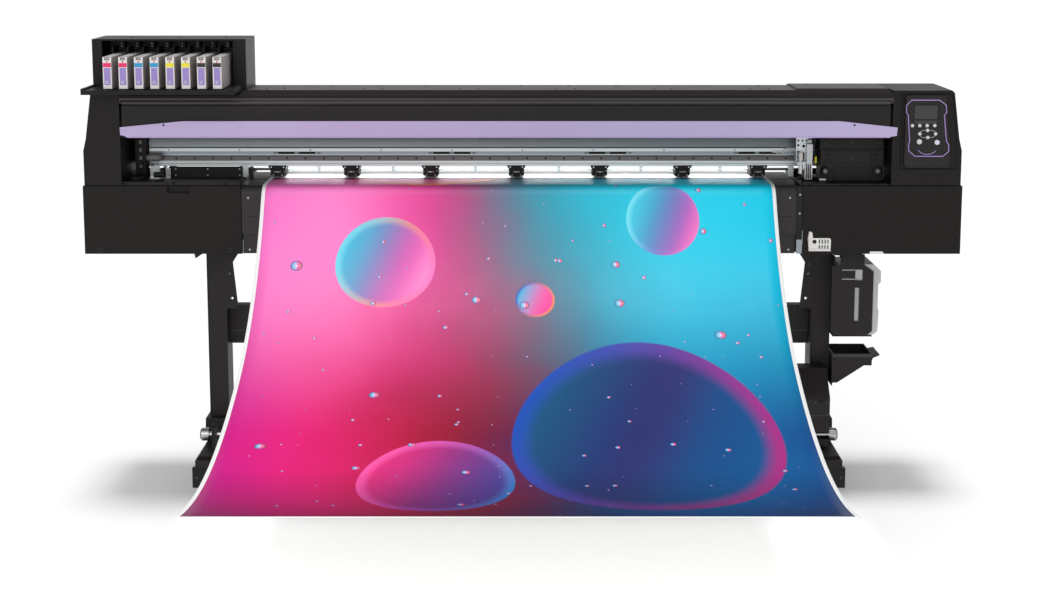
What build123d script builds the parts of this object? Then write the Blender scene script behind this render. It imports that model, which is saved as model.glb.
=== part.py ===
"""Roll-fed printer and cutter on a stand.

Millimetres, +Z up, +Y to the rear. The origin is at floor level, in the middle of the whole
object's box, the loaded sheet included. Depths are measured back from the front face of the
body covers, which stands at y = front_y.
"""

from build123d import *
import math
import os

os.makedirs("parts", exist_ok=True)

# ---- driving dimensions ---------------------------------------------------------------------
half_width = 1390.0  # body, half the overall width
front_y = 452.0  # front face of the body covers
body_depth = 420.0  # side towers, front to rear
media_x = -12.0  # middle of the media path
media_width = 1620.0
body_bottom = 800.0
split_z = 1018.0  # seam between the lower and the upper covers
top_z = 1315.0
skin = 3.0  # cover wall
fit = 0.05  # radial clearance of a shaft or a pin in its bore
gap = 0.5  # clearance between parts that pass each other

# stand
post_span = 993.0  # media centre to post centre
post_width = 63.0
post_depths = (175.0, 275.0)
foot_depths = (-65.0, 635.0)
foot_half = 42.0
foot_bottom = 80.0
foot_top = 150.0
caster_depths = (20.0, 555.0)
levelling_depths = (110.0, 465.0)
wheel_radius = 27.0
wheel_trail = 20.0
wheel_centre_z = 28.0

# take-up
takeup_depth = 60.0
takeup_z = 192.0
takeup_radius = 10.0

# media path
platen_top = 1018.0
platen_depths = (90.0, 330.0)
sheet_thickness = 2.0
sheet_clearance = 0.5
guide_radius = 60.0
roll_depth = 500.0
roll_z = 720.0
roll_radius = 70.0
grit_depth = 205.0
grit_radius = 15.0
pinch_radius = 9.0
pinch_axle_z = 1030.3
pinch_centres = (-797.0, -557.0, -299.0, -20.0, 251.0, 521.0, 766.0)
arm_pivot_depth = 246.0
arm_pivot_z = 1039.0

# bay between the side towers
bay = (-1267.0, 1164.0)
bar_front = 183.0
bar_x = (-1214.0, 1160.0)
bar_z = (1057.5, 1139.0)
rail_z = (1077.0, 1092.0)
rail_depths = (171.0, bar_front)
apron_x = (-889.0, 866.0)
door_left_x = (-half_width, -891.0)
door_right_x = (887.0, half_width)
hinge_pin = 3.0

# ink
cabinet_x = (-1361.0, -875.0)
cabinet_depths = (67.0, 261.0)
cabinet_z = (top_z, 1477.0)
cabinet_mouth_x = (-1330.0, -915.0)
cabinet_mouth_top = 1471.0
cartridge_count = 8
cartridge_pitch = 48.4
cartridge_first = -1294.5
cartridge_size = (28.0, 263.0, 98.5)
cartridge_front = -83.0
cartridge_floor = 1332.0


# ---- helpers --------------------------------------------------------------------------------
def middle(pair):
    return (pair[0] + pair[1]) / 2


def block(x, depth, z, mode=Mode.ADD):
    """A rectangular block between two X values, two depths and two heights."""
    with Locations((middle(x), front_y + middle(depth), middle(z))):
        Box(x[1] - x[0], depth[1] - depth[0], z[1] - z[0], mode=mode)


def rod(x, depth, z, radius, mode=Mode.ADD):
    """A cylinder along X between two X values, centred at a depth and a height."""
    with Locations((middle(x), front_y + depth, z)):
        Cylinder(radius, x[1] - x[0], rotation=(0, 90, 0), mode=mode)


def pillar(x, depth, z, radius, mode=Mode.ADD):
    """A cylinder along Z between two heights."""
    with Locations((x, front_y + depth, middle(z))):
        Cylinder(radius, z[1] - z[0], mode=mode)


def peg(x, depth, z, radius, mode=Mode.ADD):
    """A cylinder along Y between two depths."""
    with Locations((x, front_y + middle(depth), z)):
        Cylinder(radius, depth[1] - depth[0], rotation=(90, 0, 0), mode=mode)


def side_plate(points, x, mode=Mode.ADD):
    """An outline of (depth, height) points, extruded along X."""
    with BuildSketch(Plane.YZ.offset(x[0])) as outline:
        with BuildLine():
            Polyline([(front_y + depth, z) for depth, z in points], close=True)
        make_face()
    extrude(outline.sketch, amount=x[1] - x[0], mode=mode)


def front_plate(points, depth, mode=Mode.ADD):
    """An outline of (x, height) points, extruded from one depth to another."""
    with BuildSketch(Plane.XZ.offset(-(front_y + depth[1]))) as outline:
        with BuildLine():
            Polyline(list(points), close=True)
        make_face()
    extrude(outline.sketch, amount=depth[1] - depth[0], mode=mode)


def save(builder, name):
    builder.part.label = name
    export_step(builder.part, f"parts/{name}.step")


posts = (media_x - post_span, media_x + post_span)

# ---- stand ----------------------------------------------------------------------------------
saddle_depths = (176.0, 400.0)
saddle_bottom = 770.0
tube_wall = 4.0
beam_z = (456.0, 586.0)
beam_depths = (235.0, 275.0)
gusset_depths = (post_depths[0], post_depths[0] + 6.0)
# the gusset's free edge, as reach from the post and height
gusset_edge = ((60.0, 798.0), (23.0, 740.0), (38.0, beam_z[1]))
gusset_bolts = ((11.0, 734.0, 3.0), (12.0, 702.0, 4.0))
gusset_slot = (17.0, 620.0)

with BuildPart() as stand_frame:
    for post in posts:
        outer = (post - post_width / 2, post + post_width / 2)
        inner = (outer[0] + tube_wall, outer[1] - tube_wall)
        inner_depths = (post_depths[0] + tube_wall, post_depths[1] - tube_wall)
        block(outer, post_depths, (foot_top, saddle_bottom))
        block(inner, inner_depths, (foot_top, saddle_bottom - tube_wall), mode=Mode.SUBTRACT)
        block(outer, saddle_depths, (saddle_bottom, body_bottom))
        inward = 1 if post < media_x else -1
        edge = post + inward * post_width / 2
        free_edge = [(edge + inward * reach, z) for reach, z in gusset_edge]
        front_plate([(edge, gusset_edge[0][1]), *free_edge, (edge, beam_z[1])], gusset_depths)
        for reach, z, radius in gusset_bolts:
            peg(edge + inward * reach, gusset_depths, z, radius, mode=Mode.SUBTRACT)
        slot_ends = (edge + inward * (gusset_slot[0] - 5), edge + inward * (gusset_slot[0] + 5))
        block(sorted(slot_ends), gusset_depths, (gusset_slot[1] - 4, gusset_slot[1] + 4),
              mode=Mode.SUBTRACT)
    beam_x = (posts[0] + post_width / 2, posts[1] - post_width / 2)
    block(beam_x, beam_depths, beam_z)
    block(beam_x, (beam_depths[0] + tube_wall, beam_depths[1] - tube_wall),
          (beam_z[0] + tube_wall, beam_z[1] - tube_wall), mode=Mode.SUBTRACT)
save(stand_frame, "stand_frame")

socket_depths = (130.0, 330.0)
socket_top = 222.0
stud_radius = 6.0
end_cap = 22.0
end_cap_half = 52.0
end_cap_z = (50.0, 115.0)
end_cap_depths = ((foot_depths[0], foot_depths[0] + end_cap), (foot_depths[1] - end_cap, foot_depths[1]))
bar_depths = (end_cap_depths[0][1], end_cap_depths[1][0])
with BuildPart() as stand_feet:
    for post in posts:
        width = (post - foot_half, post + foot_half)
        outline = [
            (width[0], foot_bottom),
            (width[1], foot_bottom),
            (width[1], foot_top - 10),
            (width[1] - 8, foot_top),
            (width[0] + 8, foot_top),
            (width[0], foot_top - 10),
        ]
        front_plate(outline, bar_depths)
        block((width[0] + tube_wall, width[1] - tube_wall), bar_depths,
              (foot_bottom + tube_wall, foot_top - 12), mode=Mode.SUBTRACT)
        side_plate(
            [
                (socket_depths[0], foot_top),
                (socket_depths[1], foot_top),
                (socket_depths[1] - 14, socket_top),
                (socket_depths[0] + 14, socket_top),
            ],
            width,
        )
        block((post - post_width / 2, post + post_width / 2), post_depths, (foot_top, socket_top),
              mode=Mode.SUBTRACT)
        for end in end_cap_depths:
            block((post - end_cap_half, post + end_cap_half), end, end_cap_z)
            block(width, end, (end_cap_z[1], foot_top - 10))
        for depth in caster_depths:
            pillar(post, depth, (foot_bottom, foot_bottom + tube_wall), stud_radius + fit,
                   mode=Mode.SUBTRACT)
        for depth in levelling_depths:
            pillar(post, depth, (foot_bottom, foot_bottom + tube_wall), stud_radius + gap,
                   mode=Mode.SUBTRACT)
    holder_span = (posts[0] - 4, posts[0] + 8)
    side_plate([(26, foot_top), (94, foot_top), (86, takeup_z + 24), (34, takeup_z + 24)], holder_span)
    rod(holder_span, takeup_depth, takeup_z, takeup_radius + fit, mode=Mode.SUBTRACT)
save(stand_feet, "stand_feet")

with BuildPart() as levelling_feet:
    for post in posts:
        for depth in levelling_depths:
            pillar(post, depth, (0, 8), 30)
            pillar(post, depth, (8, 100), stud_radius)
            with BuildSketch(Plane.XY.offset(foot_bottom - 8)):
                with Locations((post, front_y + depth)):
                    RegularPolygon(11, 6)
            extrude(amount=8)
save(levelling_feet, "levelling_feet")

caster_names = ("front_left", "rear_left", "front_right", "rear_right")
caster_places = [(post, depth) for post in posts for depth in caster_depths]
axle_radius = 4.0
for name, (x, depth) in zip(caster_names, caster_places):
    axle_depth = depth + wheel_trail
    with BuildPart() as caster_fork:
        pillar(x, depth, (68, foot_bottom - gap), 24)
        pillar(x, depth, (foot_bottom - gap, 96), stud_radius)
        for side in (-1, 1):
            cheek = sorted((x + side * 14, x + side * 17.5))
            side_plate(
                [
                    (depth - 16, 68),
                    (depth + 18, 68),
                    (axle_depth + 9, wheel_centre_z + 2),
                    (axle_depth + 4, wheel_centre_z - 8),
                    (axle_depth - 5, wheel_centre_z - 8),
                ],
                cheek,
            )
        rod((x - 17.5, x + 17.5), axle_depth, wheel_centre_z, axle_radius)
    save(caster_fork, f"caster_fork_{name}")

    with BuildPart() as caster_wheel:
        rod((x - 11, x + 11), axle_depth, wheel_centre_z, wheel_radius)
        rod((x - 13, x + 13), axle_depth, wheel_centre_z, 11)
        rod((x - 13, x + 13), axle_depth, wheel_centre_z, axle_radius + fit, mode=Mode.SUBTRACT)
        round_edges = caster_wheel.edges().filter_by(GeomType.CIRCLE).filter_by(
            lambda edge: edge.radius > wheel_radius - 1
        )
        fillet(round_edges, 4)
    save(caster_wheel, f"caster_wheel_{name}")

# ---- chassis --------------------------------------------------------------------------------
wall_left = (-905.0, -899.0)
wall_right = (889.0, 895.0)
door_pivot_depth = 12.0
door_pivot_z = 812.0
shaft_radius = 8.0
grit_z = platen_top - grit_radius + 0.2
roll_shaft_radius = 12.0
hanger_x = (media_x - 880.0, media_x + 880.0)

with BuildPart() as base_frame:
    block((-1378, 1378), (40, 412), (body_bottom, body_bottom + 5))
    for wall in (wall_left, wall_right):
        block(wall, (40, 409), (body_bottom + 5, 1012))
        rod(wall, grit_depth, grit_z, shaft_radius + fit, mode=Mode.SUBTRACT)
    block((wall_left[0], wall_right[1]), (408, 415), (body_bottom, 930))
    for tube in ((115.0, 165.0), (300.0, 350.0)):
        block((wall_left[1], wall_right[0]), tube, (860, 900))
        block((wall_left[1], wall_right[0]), (tube[0] + 3, tube[1] - 3), (863, 897), mode=Mode.SUBTRACT)
    for support in ((bar_x[0], bar_x[0] + 14), (bar_x[1] - 6, bar_x[1])):
        block(support, (192, 270), (body_bottom + 5, bar_z[0]))
    for door in (door_left_x, door_right_x):
        for end in (door[0] + 40, door[1] - 52):
            rod((end - 6, end + 18), door_pivot_depth, door_pivot_z, hinge_pin)
            block((end + 14, end + 18), (8, 60), (body_bottom + 5, door_pivot_z + 6))
    for x in hanger_x:
        plate = (x - 5, x + 5)
        side_plate(
            [
                (415, 810),
                (415, 920),
                (440, 920),
                (roll_depth + 30, roll_z + 26),
                (roll_depth + 30, roll_z - 22),
                (roll_depth - 26, roll_z - 22),
            ],
            plate,
        )
        rod(plate, roll_depth, roll_z, roll_shaft_radius + fit, mode=Mode.SUBTRACT)
save(base_frame, "base_frame")

drum_slots = [(x - 33, x + 33) for x in pinch_centres]
with BuildPart() as platen:
    platen_x = (-888.0, 874.0)
    block(platen_x, platen_depths, (platen_top - 5, platen_top))
    for web in ((118.0, 124.0), (318.0, 324.0)):
        block(platen_x, web, (900, platen_top - 5))
    for slot in drum_slots:
        block(slot, (grit_depth - 17, grit_depth + 17), (platen_top - 5, platen_top), mode=Mode.SUBTRACT)
    with BuildSketch(Plane.YZ.offset(platen_x[0])):
        with BuildLine():
            top = (front_y + platen_depths[1], platen_top)
            side = (front_y + platen_depths[1] + guide_radius, platen_top - guide_radius)
            outer_arc = RadiusArc(side, top, -guide_radius)
            inner_arc = RadiusArc((side[0] - skin, side[1]), (top[0], top[1] - skin),
                                  -(guide_radius - skin))
            Line(outer_arc @ 1, inner_arc @ 1)
            Polyline(outer_arc @ 0, (side[0], 902), (side[0] - skin, 902), inner_arc @ 0)
        make_face()
    extrude(amount=platen_x[1] - platen_x[0])
    block(platen_x, (350.5, 387), (902, 905))
save(platen, "platen")

with BuildPart() as front_apron:
    crest = 30.0
    with BuildSketch(Plane.YZ.offset(apron_x[0])):
        with BuildLine():
            Polyline((front_y, 864), (front_y, platen_top - crest))
            RadiusArc((front_y, platen_top - crest), (front_y + crest, platen_top), crest)
            Polyline(
                (front_y + crest, platen_top),
                (front_y + 90, platen_top),
                (front_y + 90, platen_top - skin),
                (front_y + crest, platen_top - skin),
            )
            RadiusArc((front_y + crest, platen_top - skin), (front_y + skin, platen_top - crest),
                      -(crest - skin))
            Polyline(
                (front_y + skin, platen_top - crest),
                (front_y + skin, 867),
                (front_y + 14, 867),
                (front_y + 14, body_bottom),
                (front_y + 11, body_bottom),
                (front_y + 11, 864),
                (front_y, 864),
            )
        make_face()
    extrude(amount=apron_x[1] - apron_x[0])
    for x in (apron_x[0] + 20, media_x, apron_x[1] - 26):
        block((x, x + 6), (14, 115), (861, 899))
save(front_apron, "front_apron")

# ---- guide bar and drive --------------------------------------------------------------------
bar_rear = 265.0
bar_wall = 5.0
fin_bottom = 1120.0
fin_top = 1165.0
slot_centres = (-735.0, -230.0, 277.0, 763.0)
hanger_places = (-1180.0, -930.0, -675.0, -430.0, -160.0, 115.0, 385.0, 645.0, 880.0)
end_block_depths = (170.5, 182.0)
end_block_z = (1022.0, 1056.0)
with BuildPart() as y_bar:
    outline = [
        (bar_front, bar_z[0]),
        (bar_rear, bar_z[0]),
        (bar_rear, bar_z[1]),
        (196, bar_z[1]),
        (196, fin_top),
        (190, fin_top),
        (bar_front, fin_bottom),
    ]
    hollow = [
        (bar_front + bar_wall, bar_z[0] + bar_wall),
        (bar_rear - bar_wall, bar_z[0] + bar_wall),
        (bar_rear - bar_wall, bar_z[1] - bar_wall),
        (196, bar_z[1] - bar_wall),
        (bar_front + bar_wall, fin_bottom - 3),
    ]
    side_plate(outline, bar_x)
    side_plate(hollow, bar_x, mode=Mode.SUBTRACT)
    for x in slot_centres:
        for shift in (-34, 34):
            block((x + shift - 28, x + shift + 28), (bar_front, bar_front + 2), (1097, 1104),
                  mode=Mode.SUBTRACT)
    block(bar_x, (bar_front, bar_front + 1), (1116, 1118), mode=Mode.SUBTRACT)
    rod((bar_x[0] + 20, 900), arm_pivot_depth, arm_pivot_z, 4)
    for x in hanger_places:
        block((x, x + 10), (arm_pivot_depth - 7, arm_pivot_depth + 3), (arm_pivot_z - 7, bar_z[0]))
    for end_block in ((-908, -891), (863, 882)):
        block(end_block, end_block_depths, end_block_z)
save(y_bar, "y_bar")

with BuildPart() as linear_rail:
    block((bar_x[0] + 6, bar_x[1] - 8), rail_depths, rail_z)
    for side in rail_z:
        block((bar_x[0] + 6, bar_x[1] - 8), (175, 179), (side - 2, side + 2), mode=Mode.SUBTRACT)
save(linear_rail, "linear_rail")

motor_at = -1178.0
idler_at = 1130.0
belt_depth = 228.0
belt_z = (1203.0, 1211.0)
pulley_radius = 14.0
with BuildPart() as carriage_drive:
    pillar(motor_at, belt_depth, (bar_z[1] + 2, 1200), 27)
    block((motor_at - 34, motor_at + 34), (belt_depth - 28, belt_depth + 28), (bar_z[1], bar_z[1] + 3))
    pillar(motor_at, belt_depth, (1200, belt_z[1] + 1), pulley_radius)
    pillar(idler_at, belt_depth, (bar_z[1], belt_z[1] + 1), 10)
    with BuildSketch(Plane.XY.offset(belt_z[0])):
        for size, mode in ((pulley_radius + 1.0, Mode.ADD), (pulley_radius - 0.6, Mode.SUBTRACT)):
            with Locations((middle((motor_at, idler_at)), front_y + belt_depth)):
                SlotCenterToCenter(idler_at - motor_at, 2 * size, mode=mode)
    extrude(amount=belt_z[1] - belt_z[0])
save(carriage_drive, "carriage_drive")

with BuildPart() as grit_roller:
    rod((wall_left[0] - 16, wall_right[1] + 16), grit_depth, grit_z, shaft_radius)
    for slot in drum_slots:
        rod((slot[0] + 3, slot[1] - 3), grit_depth, grit_z, grit_radius)
    rod((wall_right[1] + 2, wall_right[1] + 14), grit_depth, grit_z, grit_radius)
save(grit_roller, "grit_roller")

arm_half = 25.0
arm_depths = (192.0, 254.0)
arm_z = (1024.5, 1049.0)
with BuildPart() as pinch_arms:
    for x in pinch_centres:
        arm = (x - arm_half, x + arm_half)
        for cheek in ((arm[0], arm[0] + 4), (arm[1] - 4, arm[1])):
            block(cheek, arm_depths, arm_z)
        block(arm, arm_depths, (arm_z[1] - 4, arm_z[1]))
        block(arm, (arm_depths[0] - 4, arm_depths[0]), (1034, arm_z[1]))
        rod(arm, arm_pivot_depth, arm_pivot_z, 4 + fit, mode=Mode.SUBTRACT)
        rod(arm, grit_depth, pinch_axle_z, hinge_pin + fit, mode=Mode.SUBTRACT)
save(pinch_arms, "pinch_arms")

with BuildPart() as pinch_rollers:
    for x in pinch_centres:
        rod((x - 20, x + 20), grit_depth, pinch_axle_z, pinch_radius)
        rod((x - 25, x + 25), grit_depth, pinch_axle_z, hinge_pin)
save(pinch_rollers, "pinch_rollers")

lever_pivot = (176.0, 1041.0)
lever_x = (-1174.0, -1160.0)
with BuildPart() as clamp_lever:
    rod(lever_x, *lever_pivot, 12)
    block((lever_x[0] + 2, lever_x[1] - 2), (92, lever_pivot[0]), (1036, 1046))
    rod((lever_x[0] - 8, lever_x[1] + 8), 92, 1041, 9)
    rod(lever_x, *lever_pivot, 5 + fit, mode=Mode.SUBTRACT)
save(clamp_lever, "clamp_lever")

# ---- panels in the bay ----------------------------------------------------------------------
ledge_top = 1030.0
station_depths = (173.0, 182.0)
with BuildPart() as bay_panels:
    block((bay[0] + 1, apron_x[0] - 3), (2, 60), (split_z + 2, ledge_top))
    block((wall_right[0] - 2, bay[1] - 1), (2, 60), (split_z + 2, ledge_top - 6))
    block((-1136, -912), station_depths, (split_z + 2, 1056))
    block((-1150, -1136), (station_depths[0], 236), (split_z + 2, 1056))
    rod((-1160 + gap, -1150), *lever_pivot, 12)
    rod((-1176, -1160 + gap), *lever_pivot, 5)
    block((bay[0] + 1, -912), (60, 172), (1012, split_z + 4))
    block((wall_right[1] + 20, bar_x[1] - 8), (178, 250), (1012, split_z + 4))
    block((apron_x[1] + 1, door_right_x[0] - 1), (2, 40), (body_bottom + 5, split_z - 6))
save(bay_panels, "bay_panels")

cap_x = (958.0, 1144.0)
cap_depths = (66.0, 164.0)
wiper_z = (1008.0, 1022.5)
with BuildPart() as capping_station:
    block(cap_x, cap_depths, (985, wiper_z[0]))
    for x in (cap_x[0] + 22, cap_x[1] - 86):
        block((x, x + 64), (cap_depths[0] + 10, cap_depths[1] - 14), wiper_z)
        block((x + 5, x + 59), (cap_depths[0] + 15, cap_depths[1] - 19), (1014, wiper_z[1]),
              mode=Mode.SUBTRACT)
    block((cap_x[0] + 88, cap_x[0] + 98), (cap_depths[0] + 14, cap_depths[1] - 14), wiper_z)
save(capping_station, "capping_station")

# ---- carriages ------------------------------------------------------------------------------
carriage_x = (951.0, 1151.0)
slider_z = (1068.0, 1101.0)
slider_depths = (158.0, 182.0)
rail_slot_z = (rail_z[0] - gap, rail_z[1] + gap)
with BuildPart() as print_carriage:
    block(carriage_x, (62, 150), (1026, 1124))
    block((carriage_x[0] + skin, carriage_x[1] - skin), (65, 150), (1040, 1121), mode=Mode.SUBTRACT)
    block((carriage_x[0] - 2, carriage_x[1]), (68, 150), (1124, 1163))
    block((carriage_x[0] + 8, carriage_x[1] - 8), (76, 150), (1124, 1157), mode=Mode.SUBTRACT)
    block((carriage_x[0] + 4, carriage_x[1] - 4), (150, 158), (1036, 1150))
    block((carriage_x[0] + 20, carriage_x[1] - 20), slider_depths, slider_z)
    block((carriage_x[0] + 20, carriage_x[1] - 20), (rail_depths[0] - gap, slider_depths[1]), rail_slot_z,
          mode=Mode.SUBTRACT)
    for x in (carriage_x[0] + 32, carriage_x[1] - 86):
        block((x, x + 54), (82, 140), (1024, 1027))
    for x in (carriage_x[0] + 11, carriage_x[1] - 14):
        peg(x, (54, 62), 1059, 12)
save(print_carriage, "print_carriage")

cutter_x = (879.0, 929.0)
holder_x = 893.0
holder_depth = 101.0
holder_radius = 8.0
with BuildPart() as cutter_carriage:
    block(cutter_x, (116, 120), (1070, 1159))
    block((cutter_x[0] + 3, cutter_x[1] - 3), (120, 158), (1069, 1112))
    block((cutter_x[0] + 3, cutter_x[1] - 3), slider_depths, slider_z)
    block((cutter_x[0] + 3, cutter_x[1] - 3), (rail_depths[0] - gap, slider_depths[1]), rail_slot_z,
          mode=Mode.SUBTRACT)
    block((cutter_x[0] + 1, holder_x + 15), (86, 116), (1072, 1084))
    pillar(holder_x, holder_depth, (1072, 1084), holder_radius + fit, mode=Mode.SUBTRACT)
    block((910, cutter_x[1]), (92, 116), (1028, 1140))
    for z in (1096, 1122, 1146):
        peg(cutter_x[0] + 12, (116, 120), z, 4, mode=Mode.SUBTRACT)
save(cutter_carriage, "cutter_carriage")

with BuildPart() as cutter_holder:
    pillar(holder_x, holder_depth, (1044, 1112), holder_radius)
    pillar(holder_x, holder_depth, (1090, 1112), 11)
    with BuildSketch(Plane.XY.offset(1031)):
        with Locations((holder_x, front_y + holder_depth)):
            Circle(2)
    with BuildSketch(Plane.XY.offset(1044)):
        with Locations((holder_x, front_y + holder_depth)):
            Circle(6)
    loft()
save(cutter_holder, "cutter_holder")

# ---- covers ---------------------------------------------------------------------------------
raised_top = top_z + 5
cover_pivot_depth = 5.0
cover_pivot_z = 1282.0
bay_rear = 330.0
raised_x = 869.0
lip_bottom = 1289.0

# the top falls away behind this depth
crown_depth = 265.0
crown_fall = 0.215
front_slope = (70.0, 9.0)


def fallen(top, depth):
    return top - crown_fall * (depth - crown_depth)


with BuildPart() as top_cover:
    clear_bay = (bay[0] + 0.5, bay[1] - 0.5)
    brow = top_z - front_slope[1]
    side_plate(
        [
            (0, lip_bottom),
            (0, brow - 3),
            (3, brow),
            (front_slope[0], top_z),
            (crown_depth, top_z),
            (bay_rear, fallen(top_z, bay_rear)),
            (bay_rear, fallen(top_z, bay_rear) - skin),
            (crown_depth, top_z - skin),
            (front_slope[0], top_z - skin),
            (skin, brow - skin),
            (skin, lip_bottom),
        ],
        clear_bay,
    )
    side_plate(
        [
            (3, brow - 1),
            (3, brow + 2),
            (front_slope[0], raised_top),
            (crown_depth, raised_top),
            (bay_rear, fallen(raised_top, bay_rear)),
            (bay_rear, fallen(top_z, bay_rear) - 1),
            (crown_depth, top_z - 1),
            (front_slope[0], top_z - 1),
        ],
        (raised_x, clear_bay[1]),
    )
    rod(clear_bay, cover_pivot_depth, cover_pivot_z, hinge_pin)
    for x in (clear_bay[0], clear_bay[1] - 5):
        side_plate([(skin, brow - skin), (skin, lip_bottom + 2), (0.5, cover_pivot_z),
                    (12, cover_pivot_z - 5), (40, top_z - skin - 4)], (x, x + 5))
save(top_cover, "top_cover")

rear_cover_top = fallen(top_z, bay_rear) - skin - gap
with BuildPart() as rear_cover:
    side_plate(
        [
            (bay_rear - skin, rear_cover_top),
            (bay_rear, rear_cover_top),
            (bay_rear, 1062),
            (bay_rear - 24, 1050),
            (bay_rear - 26, 1053),
            (bay_rear - skin, 1064),
        ],
        clear_bay,
    )
save(rear_cover, "rear_cover")

cover_bottom = 1172.0
with BuildPart() as front_cover:
    cover_x = (bay[0] + 8, bay[1] - 8)
    side_plate(
        [
            (-1, cover_bottom),
            (-1, 1272),
            (2, 1274),
            (2, cover_pivot_z),
            (8, cover_pivot_z),
            (8, 1268),
            (2, 1268),
            (2, cover_bottom + skin),
            (16, cover_bottom + skin),
            (16, cover_bottom),
        ],
        cover_x,
    )
    rod(cover_x, cover_pivot_depth, cover_pivot_z, 6)
    rod(cover_x, cover_pivot_depth, cover_pivot_z, hinge_pin + fit, mode=Mode.SUBTRACT)
save(front_cover, "front_cover")

trim_x = (-1266.0, 1178.0)
with BuildPart() as front_cover_trim:
    outline = [
        (trim_x[0] + 1, 1205),
        (trim_x[0] + 196, 1224),
        (trim_x[1] - 181, 1224),
        (trim_x[1], 1204),
        (trim_x[1] - 2, 1178),
        (trim_x[1] - 18, 1176),
        (trim_x[1] - 25, cover_bottom),
        (trim_x[0] + 23, cover_bottom),
        (trim_x[0] + 16, 1178),
        (trim_x[0] + 2, 1180),
    ]
    front_plate(outline, (-8, -1))
save(front_cover_trim, "front_cover_trim")

tower_top = {"left": top_z, "right": raised_top}
tower_bay = {"left": bay[0], "right": bay[1]}
for side, hand in (("left", -1), ("right", 1)):
    outer = hand * (half_width - 6)
    inner = tower_bay[side]
    top = tower_top[side]
    outline = [
        (inner, split_z + 2),
        (outer, split_z + 2),
        (outer, 1130),
        (outer - hand * 9, 1167),
        (outer - hand * 28, top - 8),
        (outer - hand * 36, top),
        (inner, top),
    ]
    hollow = [
        (inner + hand * skin, split_z + 2),
        (outer - hand * skin, split_z + 2),
        (outer - hand * skin, 1130),
        (outer - hand * (9 + skin), 1167),
        (outer - hand * (29 + skin), top - 9),
        (outer - hand * (36 + skin), top - skin),
        (inner + hand * skin, top - skin),
    ]
    across = sorted((inner, outer))
    crown = [(crown_depth, top), (body_depth + 1, top + 1), (body_depth + 1, fallen(top, body_depth + 1))]
    under_crown = [
        (crown_depth, top - skin),
        (body_depth, top + 1),
        (body_depth, fallen(top, body_depth) - skin),
    ]
    with BuildPart() as room:
        front_plate(hollow, (skin, body_depth - skin))
        side_plate(under_crown, across, mode=Mode.SUBTRACT)
    with BuildPart() as side_cover:
        front_plate(outline, (0, body_depth))
        side_plate(crown, across, mode=Mode.SUBTRACT)
        add(room.part, mode=Mode.SUBTRACT)
        outer_skin = sorted((outer, outer - hand * skin))
        block(outer_skin, (24, body_depth), (body_bottom + 2, split_z + 2))
        chassis = wall_left[0] if hand < 0 else wall_right[1]
        block(sorted((outer, chassis)), (body_depth - skin, body_depth), (body_bottom + 2, split_z + 2))
        inner_skin = sorted((inner, inner + hand * skin))
        block(inner_skin, (270.5, body_depth - skin), (split_z + 1, 1100), mode=Mode.SUBTRACT)
    save(side_cover, f"side_cover_{side}")

for side, door in (("left", door_left_x), ("right", door_right_x)):
    with BuildPart() as lower_door:
        top = split_z - 0.5
        block(door, (0, 20), (body_bottom, top))
        block((door[0] + skin, door[1] - skin), (skin, 20), (body_bottom, top - skin), mode=Mode.SUBTRACT)
        for end in (door[0] + 40, door[1] - 52):
            lug = (end - 4, end + 10)
            side_plate([(skin, body_bottom + 1), (18, body_bottom + 4), (18, door_pivot_z + 6),
                        (skin, door_pivot_z + 14)], lug)
            rod(lug, door_pivot_depth, door_pivot_z, hinge_pin + fit, mode=Mode.SUBTRACT)
        if side == "left":
            grip = (door[0] + 267, door[0] + 339)
            block((grip[0] - 3, grip[1] + 3), (skin, 14), (992, 1014.5))
            block(grip, (0, 11), (995, 1014.5), mode=Mode.SUBTRACT)
    save(lower_door, f"lower_door_{side}")

# ---- control panel --------------------------------------------------------------------------
panel_x = (1201.0, 1342.0)
panel_z = (1078.0, 1306.0)
key_row = [("menu", 1223.0), ("pause", 1246.0), ("base", 1269.0), ("feed", 1293.0)]
key_row_z = 1211.0
arrow_keys = {
    "up": (1271.0, 1196.0),
    "left": (1247.0, 1185.0),
    "right": (1296.5, 1185.0),
    "down": (1272.5, 1173.5),
}
wide_keys = {"power": (1246.5, 1160.0), "enter": (1302.0, 1158.0)}
keys = {name: (x, key_row_z, 5.3) for name, x in key_row}
keys |= {name: (x, z, 5.3) for name, (x, z) in arrow_keys.items()}
keys |= {name: (x, z, 8.0) for name, (x, z) in wide_keys.items()}
key_fit = 0.08

with BuildPart() as control_panel:
    outline = [
        (panel_x[0], panel_z[0] + 10),
        (panel_x[0] + 10, panel_z[0]),
        (panel_x[1], panel_z[0]),
        (panel_x[1], 1160),
        (panel_x[1] - 6, 1190),
        (panel_x[1] - 14, panel_z[1] - 8),
        (panel_x[1] - 22, panel_z[1]),
        (panel_x[0] + 6, panel_z[1]),
        (panel_x[0], panel_z[1] - 8),
    ]
    front_plate(outline, (-12, 0))
    block((1227, 1303), (-12, -10.5), (1229, 1276), mode=Mode.SUBTRACT)
    for x, z, radius in keys.values():
        peg(x, (-12, -5), z, radius + key_fit, mode=Mode.SUBTRACT)
save(control_panel, "control_panel")

for name, (x, z, radius) in keys.items():
    with BuildPart() as key:
        peg(x, (-14.5, -6.5), z, radius)
        front_edge = key.edges().filter_by(GeomType.CIRCLE).sort_by(Axis.Y)[0]
        fillet(front_edge, 1)
    save(key, f"key_{name}")

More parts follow.
